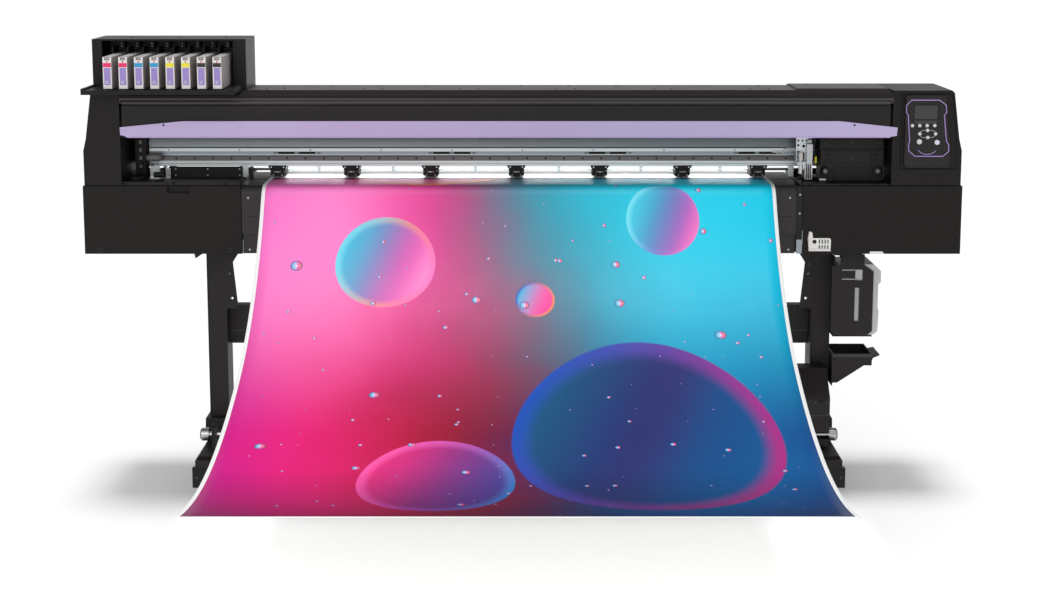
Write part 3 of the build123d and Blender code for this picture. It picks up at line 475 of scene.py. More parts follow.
# ---- printed sheet ----------------------------------------------------------------------------
sheet_low, sheet_high = node_box("media_sheet")
sheet_width = sheet_high.x - sheet_low.x
sheet_z = sheet_high.z - 0.8
print_start = 185.0
crest_radius = 70.0
guide_radius = 61.7
roll_radius = 71.6
wrap = math.radians(54.4)
crest_turn = math.radians(57)
sweep_out = ((-565.0, 553.0), (-1000.0, 437.0), (-1539.0, 448.0))


def tangent_arc(start, heading, end, steps):
    """Points on the arc that leaves start along heading and reaches end, and its last heading."""
    chord = (end - start)
    turn = 2 * (math.atan2(chord.y, chord.x) - math.atan2(heading.y, heading.x))
    turn = (turn + math.pi) % (2 * math.pi) - math.pi
    radius = chord.length / (2 * math.sin(turn / 2))
    centre = start + radius * Vector((-heading.y, heading.x))
    spoke = start - centre
    points = [centre + Matrix.Rotation(turn * n / steps, 2) @ spoke for n in range(1, steps + 1)]
    return points, Matrix.Rotation(turn, 2) @ heading


def sheet_path():
    """(depth, height) points from the free end of the sheet back to the supply roll."""
    crest = Vector((30.0, sheet_z))
    heading = Vector((-1.0, 0.0))
    centre = crest - Vector((0, crest_radius))
    path = [crest]
    for step in range(1, 13):
        turn = crest_turn * step / 12
        path.append(centre + crest_radius * Vector((-math.sin(turn), math.cos(turn))))
    heading = Matrix.Rotation(crest_turn, 2) @ heading
    for depth, z in sweep_out:
        points, heading = tangent_arc(path[-1], heading, Vector((depth, z + 1.0)), 24)
        path += points
    behind = [Vector((float(depth), sheet_z)) for depth in range(330, 30, -30)]
    guide_centre = Vector((330.0, sheet_z - guide_radius))
    bend = [guide_centre + guide_radius * Vector((math.sin(a), math.cos(a)))
            for a in (wrap * step / 10 for step in range(10, 0, -1))]
    roll_low, roll_high = node_box("supply_roll")
    roll_centre = Vector(((roll_low.y + roll_high.y) / 2, (roll_low.z + roll_high.z) / 2))
    leave = roll_centre + roll_radius * Vector((math.sin(wrap), math.cos(wrap)))
    straight = [leave.lerp(bend[0], step / 8) for step in range(8)]
    return path[::-1] + (straight + bend + behind)[::-1]


def printed_sheet():
    path = sheet_path()
    length, stations = 0.0, [0.0]
    for one, other in zip(path, path[1:]):
        length += (other - one).length
        stations.append(length)
    columns = 36
    bm = bmesh.new()
    rows = []
    for point, station in zip(path, stations):
        row = []
        for column in range(columns + 1):
            share = column / columns
            x = sheet_low.x + sheet_width * share
            row.append(bm.verts.new((x * MM, front_y + point.x * MM, point.y * MM)))
        rows.append(row)
    layer = bm.loops.layers.uv.new("flat")
    for low, (one, other) in enumerate(zip(rows, rows[1:])):
        for column in range(columns):
            corners = (one[column], one[column + 1], other[column + 1], other[column])
            face = bm.faces.new(corners)
            places = ((column, low), (column + 1, low), (column + 1, low + 1), (column, low + 1))
            for loop, (place, row) in zip(face.loops, places):
                loop[layer].uv = (sheet_width * place / columns * MM, stations[row] * MM)
    piece = link_mesh("printed_sheet", bm, print_material(), M["liner"])
    for polygon in piece.data.polygons:
        polygon.use_smooth = True
    solid = piece.modifiers.new("thickness", "SOLIDIFY")
    solid.thickness = 0.6 * MM
    solid.offset = -1.0
    solid.material_offset = 1
    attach(piece, "root")
    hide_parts("media_sheet")
    return piece


path_points = sheet_path()
print_length = sum(
    (b - a).length for a, b in zip(path_points, path_points[1:]) if b.x <= print_start + 1
)


# ---- CAD nodes --------------------------------------------------------------------------------
def dress(node, material):
    """Gives a CAD node its finish."""
    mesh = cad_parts[node].data
    for place in range(len(mesh.materials)):
        mesh.materials[place] = material
    if not mesh.materials:
        mesh.materials.append(material)


NODE_FINISH = {
    "stand_frame": "powder", "stand_feet": "foot", "levelling_feet": "zinc",
    "base_frame": "chassis",
    "platen": "platen", "front_apron": "apron", "y_bar": "bar", "linear_rail": "rail",
    "carriage_drive": "zinc", "bay_panels": "black", "top_cover": "top", "rear_cover": "cover",
    "side_cover_left": "cover", "side_cover_right": "cover", "control_panel": "panel",
    "ink_cabinet": "cover", "tank_holder": "powder", "takeup_drive": "powder",
    "front_cover": "front", "front_cover_trim": "violet", "lower_door_left": "door",
    "lower_door_right": "door", "print_carriage": "black", "cutter_carriage": "zinc",
    "cutter_holder": "steel", "pinch_arms": "black", "pinch_rollers": "rubber",
    "clamp_lever": "black", "capping_station": "black", "grit_roller": "steel",
    "supply_roll": "vinyl", "takeup_shaft": "steel", "waste_tank": "tank",
}
M["tank"] = tank_material()
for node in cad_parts:
    if node.startswith("ink_cartridge"):
        dress(node, M["carton"])
    elif node.startswith("caster_fork"):
        dress(node, M["zinc"])
    elif node.startswith("caster_wheel"):
        dress(node, M["rubber"])
    elif node.startswith("key_"):
        dress(node, M["key_lilac" if node == "key_enter" else "key"])
    elif node in NODE_FINISH:
        dress(node, M[NODE_FINISH[node]])

printed_sheet()


# ---- ink cabinet ------------------------------------------------------------------------------
INKS = ("magenta", "magenta", "cyan", "cyan", "yellow", "yellow", "ink_black", "ink_black")


def cartridge_faces():
    """White fronts with a colour band, a lilac field and a grip notch, one on each cartridge."""
    for number, ink in enumerate(INKS, 1):
        node = f"ink_cartridge_{number}"
        low, high = node_box(node)
        x, front, top = (low.x + high.x) / 2, low.y, high.z
        face = [(low.x + 0.8, low.z + 0.8), (high.x - 0.8, low.z + 0.8), (high.x - 0.8, top - 0.8),
                (x + 8, top - 0.8), (x + 8, top - 10), (x - 8, top - 10), (x - 8, top - 0.8),
                (low.x + 0.8, top - 0.8)]
        Piece().plate(face, (front - 0.8, front + 0.4), 0.3).place(f"{node}_face", "white", node)
        band = Piece().block((low.x + 1.5, high.x - 1.5), (front - 1.1, front),
                             (top - 31, top - 18), 0.2)
        band.place(f"{node}_band", ink, node)
        field = Piece().block((low.x + 4, high.x - 4), (front - 1.1, front),
                              (low.z + 12, top - 33), 0.2)
        field.place(f"{node}_field", "lilac", node)
        marks = Piece().disc(x, front - 0.9, top - 14.4, 2.6, 0.6, sides=16, bevel=0.1)
        marks.place(f"{node}_dot", "red", node)
        lines = Piece()
        for step, width in enumerate((7, 5, 7)):
            height = low.z + 17 + 3.4 * step
            lines.block((x - width, x + width - 3), (front - 1.4, front - 0.8),
                        (height, height + 1.2), 0.1)
        lines.place(f"{node}_lines", "white", node)
        tab = Piece().block((x - 5, x + 5), (front + 4, front + 9), (top - 7, top - 1), 0.8)
        tab.place(f"{node}_grip", "carton", node)


def cabinet_details():
    low, high = node_box("ink_cabinet")
    slot_low, slot_high = node_box("ink_cartridge_1")
    pitch = node_box("ink_cartridge_2")[0].x - slot_low.x
    mouth = (-1329, -916)
    rails = Piece()
    for z in (1437, 1447, 1458):
        rails.block(mouth, (181, 184), (z, z + 4), 0.6)
    rails.place("cabinet_rails", "chassis")
    lamps, seats = Piece(), Piece()
    for number in range(8):
        x = slot_low.x + 10 + number * pitch
        seats.block((x - 9, x + 9), (150, 181), (1444, 1466), 1.0)
        for z in (1450, 1459):
            lamps.disc(x, 149.4, z, 1.9, 1.6, sides=14, bevel=0.4)
    seats.place("cabinet_lamp_seats", "black")
    lamps.place("cabinet_lamps", "lamp")
    screws = Piece()
    for x in (low.x + 12, high.x - 14):
        for z in (1345, 1410, 1466):
            screws.screw(x, 66.4, z, 2.6)
    for x in (-1250, -1100, -950):
        screws.screw(x, 66.4, high.z - 2.6, 1.6)
        screws.screw(x, 150, high.z + 0.6, 3.0, axis="z")
    screws.place("cabinet_screws", "black")
    seam = Piece().block((low.x - 0.5, low.x + 0.2), (70, 255), (1329, 1330.2), 0)
    seam.block(mouth, (66.4, 67.5), (1471.4, 1472), 0)
    seam.block((-908, -907), (66.4, 67.5), (1331, 1470), 0)
    seam.place("cabinet_seams", "pit")
    louvres = Piece()
    for number in range(8):
        x = -1300 + number * 52
        louvres.block((x, x + 30), (260.6, 262), (1395, 1399), 0.5)
        louvres.block((x, x + 30), (260.6, 262), (1407, 1411), 0.5)
        louvres.block((x, x + 30), (260.6, 262), (1419, 1423), 0.5)
    louvres.place("cabinet_rear_louvres", "pit")


# ---- covers -----------------------------------------------------------------------------------
raised_from = 869.0
top_z, raised_z = 1315.4, 1320.4


def cover_details():
    # Painted highlight: the fold of the front cover is drawn in the lighter crease finish, for the
    # light it catches.
    crease_highlight = Piece()
    arc = [(5 - 6.7 * math.cos(a), 1282 + 6.7 * math.sin(a))
           for a in (math.radians(-62 + 13.5 * step) for step in range(11))]
    inner = [(5 - 5.9 * math.cos(a), 1282 + 5.9 * math.sin(a))
             for a in (math.radians(73 - 13.5 * step) for step in range(11))]
    crease_highlight.side(arc + inner, (-1257, 1154), 0)
    crease_highlight.place("front_cover_crease", "crease_highlight", "front_cover")
    for start, end, top in ((-1266, raised_from, top_z), (raised_from, 1163, raised_z)):
        brow = Piece().side([(-0.5, 1296), (-0.5, 1303.4), (2.6, top - 8.8), (72, top),
                             (72, top - 0.7),
                             (3.2, top - 9.6), (0.2, 1303), (0.2, 1296)], (start, end), 0)
        brow.place(f"top_cover_brow_{'raised' if start > 0 else 'long'}", "brow")
    # Painted highlight: a flat strip in the lighter crease finish stands for the lit band along the
    # fold.
    band = Piece().block((-1266, 1163), (-0.6, 0.2), (1289.2, 1296), 0.2)
    band.place("top_cover_band", "crease_highlight")
    dots = Piece()
    for x in (-1127, 1042):
        dots.disc(x, -8.2, 1212, 3.4, 1.2, sides=20, bevel=0.3)
    for x in (-1215, 1130):
        dots.screw(x, -1.6, 1262, 2.4)
    dots.place("front_cover_dots", "black", "front_cover")
    lines = Piece().block((-1246, 1150), (-8.5, -7.9), (1174.6, 1175.6), 0)
    lines.place("trim_shadow_line", "violet_line", "front_cover")
    grip = Piece().block((-140, 116), (2, 15.4), (1169.6, 1172.2), 0.6)
    grip.place("front_cover_grip", "rubber", "front_cover")
    top = Piece()
    for x in range(-780, 1150, 155):
        top.screw(x, 236, top_z if x < raised_from else raised_z, 4.0, axis="z")
    for x in range(-820, 820, 310):
        top.screw(x, 130, top_z, 3.4, axis="z")
        top.screw(x + 58, 130, top_z, 3.4, axis="z")
    top.place("top_cover_screws", "black")
    seam = Piece().block((raised_from + 0.4, raised_from + 1.4), (70, 265), (1315.2, 1320.3), 0)
    seam.block((1163.2, 1164.2), (4, 265), (1308, 1320.4), 0)
    seam.place("top_cover_seams", "pit")
    rear = Piece()
    for x in range(-1200, 1160, 236):
        for z in (1080, 1285):
            rear.screw(x, 330.6, z, 3.2)
    rear.place("rear_cover_screws", "zinc")
    ribs = Piece()
    for x in range(-1140, 1140, 118):
        ribs.block((x, x + 6), (329.6, 332), (1090, 1272), 1.0)
    ribs.place("rear_cover_ribs", "cover")


FANS = ((1275, 1160), (1275, 915), (-1325, 1150))


def tower_details():
    seams, screws = Piece(), Piece()
    for hand in (-1, 1):
        outer = hand * 1384
        seams.block((outer - 0.3, outer + 0.4), (2, 418), (1017.4, 1018.6), 0)
        for number in range(9):
            z = 880 + number * 11
            seams.block((outer - 0.3, outer + 0.5), (150, 290), (z, z + 4), 0.2)
        for depth in (60, 200, 340, 404):
            screws.screw(outer + hand * 0.4, depth, 1040, 3.2, axis="x")
        for depth in (60, 200, 340):
            screws.screw(outer + hand * 0.4, depth, 815, 3.2, axis="x")
    for x in (-1372, -1280, -925, 910, 1172, 1372):
        screws.screw(x, 420.6, 820, 3.2)
        screws.screw(x, 420.6, 1000, 3.2)
    seams.place("tower_seams", "pit")
    screws.place("tower_screws", "zinc")
    fan = Piece()
    for x, z in FANS:
        fan.disc(x, 420.8, z, 42, 2.4, sides=48, bevel=0.8)
    fan.place("fan_covers", "black")
    rings = Piece()
    for x, z in FANS:
        for radius in (9, 18, 27, 36):
            circle = [(x + radius * math.cos(a), 422.8, z + radius * math.sin(a))
                      for a in (math.tau * step / 40 for step in range(40))]
            rings.tube(circle, 1.1, sides=8, closed=True)
        for turn in range(4):
            angle = math.pi * turn / 4
            across = Vector((math.cos(angle), 0, math.sin(angle))) * 38
            centre = Vector((x, 422.8, z))
            rings.tube([centre - across, centre + across], 1.0, sides=8)
        for corner in ((-36, -36), (36, -36), (-36, 36), (36, 36)):
            rings.screw(x + corner[0], 421.4, z + corner[1], 3.0)
    rings.place("fan_grilles", "zinc")
    inlet = Piece().block((1170, 1216), (420, 424), (868, 900), 1.5)
    inlet.block((1226, 1246), (420, 423), (872, 896), 1.0)
    inlet.place("power_inlet", "black")
    pins = Piece()
    for shift in (-9, 0, 9):
        pins.block((1192 + shift, 1194 + shift), (424, 427), (881, 889), 0.3)
    pins.place("power_pins", "steel")
    sockets = Piece()
    for number in range(3):
        sockets.block((1176 + 26 * number, 1190 + 26 * number), (420, 422.4), (930, 941), 0.6)
    sockets.place("data_sockets", "zinc")
    louvres = Piece()
    for number in range(10):
        z = 1180 + number * 9
        for x in (-1350, -1306):
            if number > 1:
                louvres.block((x + 5, x + 34), (420, 421.4), (z, z + 4), 0.4)
        louvres.block((1200, 1350), (420, 421.4), (z + 36, z + 40), 0.4)
    louvres.place("rear_louvres", "pit")


def door_details():
    hooks = Piece()
    for x in (-1339, -929):
        hooks.plate([(x - 11, 803), (x + 11, 803), (x + 11, 818), (x + 5, 822), (x - 5, 822),
                     (x - 11, 818)], (-2.4, 0), 0.5)
        hooks.block((x - 7, x + 7), (-5, -2), (806, 811), 0.7)
    hooks.place("door_hooks", "black", "lower_door_left")
    tab = Piece().plate([(-1044, 799.5), (-1018, 799.5), (-1040, 784)], (4, 10), 0.5)
    tab.place("door_tab", "black", "lower_door_left")
    screws = Piece()
    for x, z in ((1375, 812), (1376, 866), (902, 990), (902, 905)):
        screws.screw(x, -0.7, z, 3.2)
    screws.place("door_screws", "black", "lower_door_right")
    block = Piece().plate([(1103, 800.5), (1148, 800.5), (1144, 808), (1103, 808)], (-3, 6), 0.8)
    block.place("door_latch", "white", "lower_door_right")
    clip = Piece().plate([(908, 812), (975, 812), (978, 818), (978, 848), (974, 851), (921, 851),
                          (919, 868),
                (914, 872), (908, 872), (905, 850)], (-5, 0), 0.8)
    clip.block((907, 977), (-13, -5), (811, 815), 0.8)
    clip.block((907, 911), (-13, -5), (815, 868), 0.8)
    clip.place("cable_comb", "white", "lower_door_right")
    teeth = Piece()
    for x in (940, 949, 958, 967):
        teeth.block((x, x + 3.4), (-6, -4.6), (834, 847), 0.3)
        teeth.block((x, x + 3.4), (-6, -4.6), (818, 829), 0.3)
    teeth.disc(926, -5.4, 840, 6.5, 1.4, sides=24)
    teeth.place("cable_comb_slots", "black", "lower_door_right")


def apron_details():
    plate = Piece().block((869, 887), (-0.6, 2), (801, 846), 0.4)
    plate.block((886.4, 888.2), (-1.6, 2), (832, 876), 0.3)
    plate.block((-889.4, -887.4), (8, 12), (801, 843), 0.3)
    plate.place("apron_plates", "bar")
    screws = Piece()
    for x in (-868, 846):
        screws.screw(x, 10.4, 812, 3.2)
        screws.screw(x, -0.6, 980, 3.0)
    screws.screw(878, 1.4, 990, 3.0)
    screws.screw(878, 1.4, 930, 3.0)
    screws.place("apron_screws", "zinc")
    joint = Piece().block((-888, 865), (-0.3, 0.3), (920, 920.8), 0)
    joint.place("apron_joint", "pit")
    holes = Piece()
    for x in range(-860, 860, 40):
        for depth in (110, 140, 240, 280):
            holes.disc(x, depth, 1018.05, 1.8, 0.3, axis="z", sides=12, bevel=0)
    holes.place("platen_holes", "pit")
    groove = Piece().block((-880, 866), (150, 153), (1017.9, 1018.2), 0)
    groove.place("cut_groove", "pit")


# ---- bay --------------------------------------------------------------------------------------
BAR_X = (-1213, 1158)
BAR_JOINT_X = (-735, -230, 277, 763)
PINCH_X = (-797, -557, -299, -20, 251, 521, 766)


def bar_details():
    bright = Piece().block(BAR_X, (181.6, 183), (1106, 1115.6), 0.4)
    bright.block(BAR_X, (181.2, 183), (1058, 1075), 0.4)
    bright.block(BAR_X, (181.8, 183), (1093.5, 1096), 0.3)
    bright.place("bar_bands", "bar_bright")
    dark = Piece().block(BAR_X, (181.4, 184), (1117, 1119.4), 0)
    dark.block(BAR_X, (180.9, 181.4), (1066.2, 1067.2), 0)
    dark.block(BAR_X, (170.6, 171.2), (1089.6, 1090.4), 0)
    for centre in BAR_JOINT_X:
        for shift in (-34, 34):
            dark.block((centre + shift - 27, centre + shift + 27), (182.2, 184), (1097.6, 1103.6),
                       0.3)
    dark.place("bar_slots", "pit")
    clips = Piece()
    for centre in BAR_JOINT_X:
        for end in (-76, 66):
            clips.plate([(centre + end, 1103), (centre + end + 14, 1103), (centre + end + 10, 1098),
                         (centre + end + 2, 1098)], (181, 183), 0.4)
        clips.block((centre - 6, centre + 6), (181.4, 183), (1099, 1102), 0.3)
    for x in range(-1150, 1150, 230):
        clips.screw(x, 181.0, 1110, 2.4)
    clips.place("bar_clips", "rail")
    screws = Piece()
    for x in range(-1185, 1140, 60):
        screws.disc(x, 170.8, 1084.5, 3.2, 1.0, sides=16, bevel=0.3)
        screws.disc(x, 170.2, 1084.5, 1.6, 0.6, sides=6, bevel=0)
    screws.place("rail_screws", "pit")
    bracket = Piece().plate([(846, 1106), (862, 1106), (866, 1110), (889, 1110), (889, 1119),
                             (857, 1119)], (172, 182), 0.8)
    bracket.block((812, 850), (178, 182), (1102, 1108), 0.6)
    bracket.place("bar_end_bracket", "white")
    ends = Piece().block((-1214.6, -1211), (184, 264), (1058, 1138), 0.6)
    ends.block((1157, 1160.6), (184, 264), (1058, 1138), 0.6)
    ends.place("bar_end_plates", "zinc")


def pinch_details():
    heads, bosses, noses = Piece(), Piece(), Piece()
    for x in PINCH_X:
        heads.plate([(x - 30, 1060), (x + 30, 1060), (x + 29, 1055), (x + 24, 1049), (x - 24, 1049),
                     (x - 29, 1055)], (173.6, 177.6), 0.6)
        heads.plate([(x - 24, 1049.6), (x + 24, 1049.6), (x + 23, 1034), (x + 17, 1024),
                     (x - 17, 1024),
                     (x - 23, 1034)], (174.4, 189), 0.8)
        heads.block((x - 12, x + 12), (170.6, 175), (1036, 1045), 0.8)
        for side in (-1, 1):
            bosses.disc(x + side * 20, 172.6, 1055.4, 2.4, 2.0, sides=16)
            bosses.disc(x + side * 14, 173.4, 1029, 2.0, 2.0, sides=14)
            spring = [(x + side * 18 + 2.4 * math.cos(t), 173.6 + 2.4 * math.sin(t),
                       1037 + 0.62 * t)
                      for t in (0.55 * step for step in range(24))]
            bosses.tube(spring, 0.5, sides=6)
            noses.disc(x + side * 8, 170.4, 1040, 3.4, 1.2, sides=20)
        bosses.block((x - 4, x + 4), (170.2, 171), (1038.6, 1041.4), 0.2)
    heads.place("pinch_heads", "black", "pinch_arms")
    noses.place("pinch_noses", "grey", "pinch_arms")
    bosses.place("pinch_bosses", "steel", "pinch_arms")
    grit = Piece()
    for x in PINCH_X:
        for end in (-30, 29):
            grit.disc(x + end, 205, 1003.2, 15.06, 1, axis="x", sides=40, bevel=0.1)
    grit.place("grit_roller_edges", "rubber", "grit_roller")


def left_station():
    wall = Piece().block((-1253, -1218), (150, 200), (1026, 1168), 1.0)
    wall.block((-1250, -1222), (66, 150), (1026, 1036), 0.8)
    wall.place("station_wall", "black")
    slots = Piece()
    for z in (1056, 1082, 1108, 1134):
        slots.block((-1240, -1231), (149.2, 150.4), (z, z + 12), 0.5)
    slots.place("station_wall_slots", "grey")
    pulley = Piece().disc(-1192, 156, 1089, 13, 38, axis="x", sides=36, bevel=1.0)
    pulley.disc(-1170.5, 156, 1089, 8, 6, axis="x", sides=28, bevel=0.8)
    pulley.disc(-1214, 156, 1089, 9, 6, axis="x", sides=28, bevel=0.8)
    pulley.place("station_cylinder", "grey")
    plates = Piece().plate([(-1208, 1022), (-1176.5, 1022), (-1176.5, 1060), (-1196, 1066),
                            (-1208, 1060)], (158, 161), 0.5)
    plates.plate([(-1158, 1022), (-1142, 1022), (-1142, 1052), (-1158, 1058)], (158, 161), 0.5)
    plates.block((-1208, -1142), (140, 161), (1021.6, 1024), 0.4)
    plates.block((-1150, -1142), (161, 175), (1036, 1040), 0.4)
    plates.place("station_brackets", "bar_bright")
    fixings = Piece()
    for x, z in ((-1202, 1030), (-1182, 1030), (-1202, 1054), (-1148, 1030), (-1148, 1048)):
        fixings.screw(x, 157.2, z, 2.8)
    for x in (-1128, -1024, -920):
        for z in (1029, 1049):
            fixings.screw(x, 172.2, z, 2.4)
    fixings.place("station_screws", "zinc")
    ledge = Piece()
    for x in (-1260, -1102, -940):
        ledge.disc(x, 1.4, 1025, 4.0, 1.6, sides=20, bevel=0.4)
    for x in (905, 1010, 1120, 1158):
        ledge.disc(x, 1.4, 1022, 2.4, 1.6, sides=16, bevel=0.3)
    ledge.place("ledge_screws", "pit")
    lips = Piece().block((-1266, -893), (0.8, 2.4), (1029, 1031.2), 0.4)
    lips.block((-1136, -912), (171.6, 173.2), (1054.6, 1057.4), 0.4)
    lips.place("ledge_lips", "cover")
    block = Piece().plate([(-908, 1024), (-891, 1024), (-891, 1058), (-896, 1062), (-908, 1062)],
                          (166, 170.6), 0.8)
    block.plate([(863, 1026), (880, 1026), (880, 1058), (868, 1060), (863, 1056)], (166, 170.6),
                0.8)
    block.place("bar_end_blocks", "bar_bright")
    posts = Piece().block((-888, -876), (160, 186), (1019, 1056), 0.8)
    posts.place("bay_post", "black")
    wires = Piece()
    for start, lift in ((-1236, 0), (-1230, 5), (-1242, 9)):
        route = [(start, 120, 1037), (start + 3, 112, 1050 + lift), (start + 16, 118, 1066 + lift),
                 (start + 30, 140, 1068 + lift), (start + 36, 155, 1062)]
        wires.tube(route, 1.5, sides=8)
    wires.place("station_wires", "rubber")


def print_carriage_details():
    body = "print_carriage"
    knobs, rims, caps = Piece(), Piece(), Piece()
    for x in (964, 1132):
        knobs.disc(x, 58, 1058, 15.5, 8, sides=40, bevel=1.2)
        for step in range(16):
            angle = math.tau * step / 16
            knobs.disc(x + 15.2 * math.cos(angle), 58, 1058 + 15.2 * math.sin(angle), 1.5, 6.8,
                       sides=10, bevel=0.4)
        rims.disc(x, 53.4, 1058, 9.2, 2.4, sides=32, bevel=0.6)
        caps.disc(x, 51.6, 1058, 4.6, 2.0, sides=24, bevel=0.5)
    knobs.place("carriage_knobs", "rubber", body)
    rims.place("carriage_knob_rims", "chassis", body)
    caps.place("carriage_knob_caps", "grey", body)
    ribs = Piece().block((955, 1147), (60.6, 62.4), (1119, 1121), 0.5)
    ribs.block((955, 1147), (60.8, 62.4), (1082, 1083.4), 0.4)
    for x in (988, 1108):
        ribs.block((x, x + 3), (58.5, 62.4), (1030, 1079), 0.8)
    ribs.plate([(994, 1034), (1104, 1034), (1100, 1072), (998, 1072)], (60.4, 62.2), 0.8)
    ribs.block((954, 1146), (66.6, 68.4), (1129, 1131), 0.5)
    ribs.block((954, 1146), (66.6, 68.4), (1155, 1158), 0.5)
    for x in (975, 1120):
        ribs.block((x - 12, x + 12), (59, 62.4), (1086, 1112), 1.4)
    ribs.place("carriage_ribs", "cover", body)
    screws = Piece()
    for x in (962, 1050, 1139):
        screws.screw(x, 67.0, 1146, 2.6)
        screws.screw(x, 61.0, 1100, 2.6)
    screws.place("carriage_screws", "chassis", body)
    label = Piece().block((947.6, 968), (61.0, 64), (1027.4, 1032.6), 0.4)
    label.place("carriage_scale", "white", body)
    chips = Piece()
    for x in (1004, 1030, 1056, 1082):
        chips.block((x, x + 16), (59.6, 61.2), (1042, 1052), 0.4)
    chips.place("carriage_clips", "black", body)
    heads = Piece().block((985, 1037), (84, 138), (1023.2, 1024.4), 0.2)
    heads.block((1067, 1119), (84, 138), (1023.2, 1024.4), 0.2)
    heads.place("print_heads", "steel", body)


def cutter_details():
    body = "cutter_carriage"
    plates = Piece().plate([(879, 1159), (929, 1159), (929, 1122), (922, 1116), (922, 1094),
                            (912, 1086),
                  (912, 1078), (879, 1078)], (113.5, 116), 0.6)
    plates.plate([(884, 1078), (909, 1078), (905, 1062), (897, 1052), (887, 1058), (884, 1068)],
                 (96, 98.4), 0.5)
    plates.block((906, 909), (94, 113), (1028, 1076), 0.5)
    plates.block((926, 929), (90, 113), (1026, 1076), 0.5)
    plates.block((906, 929), (90, 93), (1026, 1029), 0.5)
    plates.block((906, 929), (90, 93), (1050, 1052), 0.4)
    plates.place("cutter_plates", "bar_bright", body)
    wires = Piece()
    for x in (911, 917, 923):
        wires.tube([(x, 91, 1028), (x + 1, 88, 1042), (x - 1, 88, 1058), (x, 92, 1076)], 1.3,
                   sides=8)
    wires.tube([(917, 112, 1150), (923, 98, 1156), (935, 92, 1148), (940, 98, 1128),
                (938, 112, 1104)], 2.0)
    wires.place("cutter_wires", "rubber", body)
    holes = Piece()
    for x, z, radius in ((886, 1149, 3), (899, 1149, 3), (912, 1149, 3), (886, 1134, 3.6),
                         (903, 1131, 4.6),
                         (886, 1112, 3.6), (904, 1108, 3), (890, 1096, 3), (918, 1136, 2.4),
                         (890, 1066, 2.4), (898, 1072, 2.2)):
        holes.disc(x, 113.2 if z > 1080 else 95.8, z, radius, 1.0, sides=20, bevel=0)
    holes.place("cutter_holes", "pit", body)
    studs = Piece()
    for x, z in ((894, 1140), (911, 1120), (884, 1124), (900, 1090), (921, 1108)):
        studs.screw(x, 112.8, z, 2.6)
    coil = [(917 + 3.4 * math.cos(t), 108 + 3.4 * math.sin(t), 1082 + 0.7 * t)
            for t in (0.5 * step for step in range(80))]
    studs.tube(coil, 0.7, sides=6)
    studs.place("cutter_studs", "steel", body)
    frame_piece = Piece().block((929, 934), (100, 118), (1070, 1150), 0.6)
    frame_piece.block((930, 942), (104, 112), (1098, 1104), 0.6)
    frame_piece.block((930, 942), (104, 112), (1122, 1127), 0.6)
    frame_piece.place("cutter_side_frame", "black", body)
    cap = Piece().block((938, 944), (98, 106), (1077, 1099), 1.0)
    cap.place("cutter_sensor_flag", "yellow", body)
    grip = Piece()
    for z in range(1092, 1112, 3):
        grip.disc(893, 101, z, 11.4, 1.4, axis="z", sides=36, bevel=0.5)
    grip.place("cutter_holder_rings", "chassis", "cutter_holder")
    blade = Piece().disc(893, 101, 1038, 2.6, 10, axis="z", top=5.6, sides=24, bevel=0.3)
    blade.place("cutter_holder_tip", "copper", "cutter_holder")


def bay_interior():
    back = Piece().block((-1262, 1158), (318, 322), (1070, 1290), 0.6)
    for x in range(-1200, 1150, 196):
        back.block((x, x + 10), (300, 320), (1080, 1280), 1.0)
    back.place("bay_liner", "black")
    chain = Piece()
    for x in range(-1120, 1100, 26):
        chain.block((x, x + 22), (270, 298), (1141, 1158), 2.0)
    chain.place("cable_chain", "black")
    scale = Piece().block((-1204, 1150), (197, 198.4), (1146, 1158), 0.2)
    scale.place("encoder_strip", "lamp")
    caps = Piece()
    for x in (980, 1058):
        for ring in (0, 4):
            caps.block((x + ring, x + 64 - ring), (80 + ring, 82 + ring), (1021.6, 1023), 0.3)
            caps.block((x + ring, x + 64 - ring), (144 - ring, 146 - ring), (1021.6, 1023), 0.3)
    caps.place("cap_lips", "rubber", "capping_station")


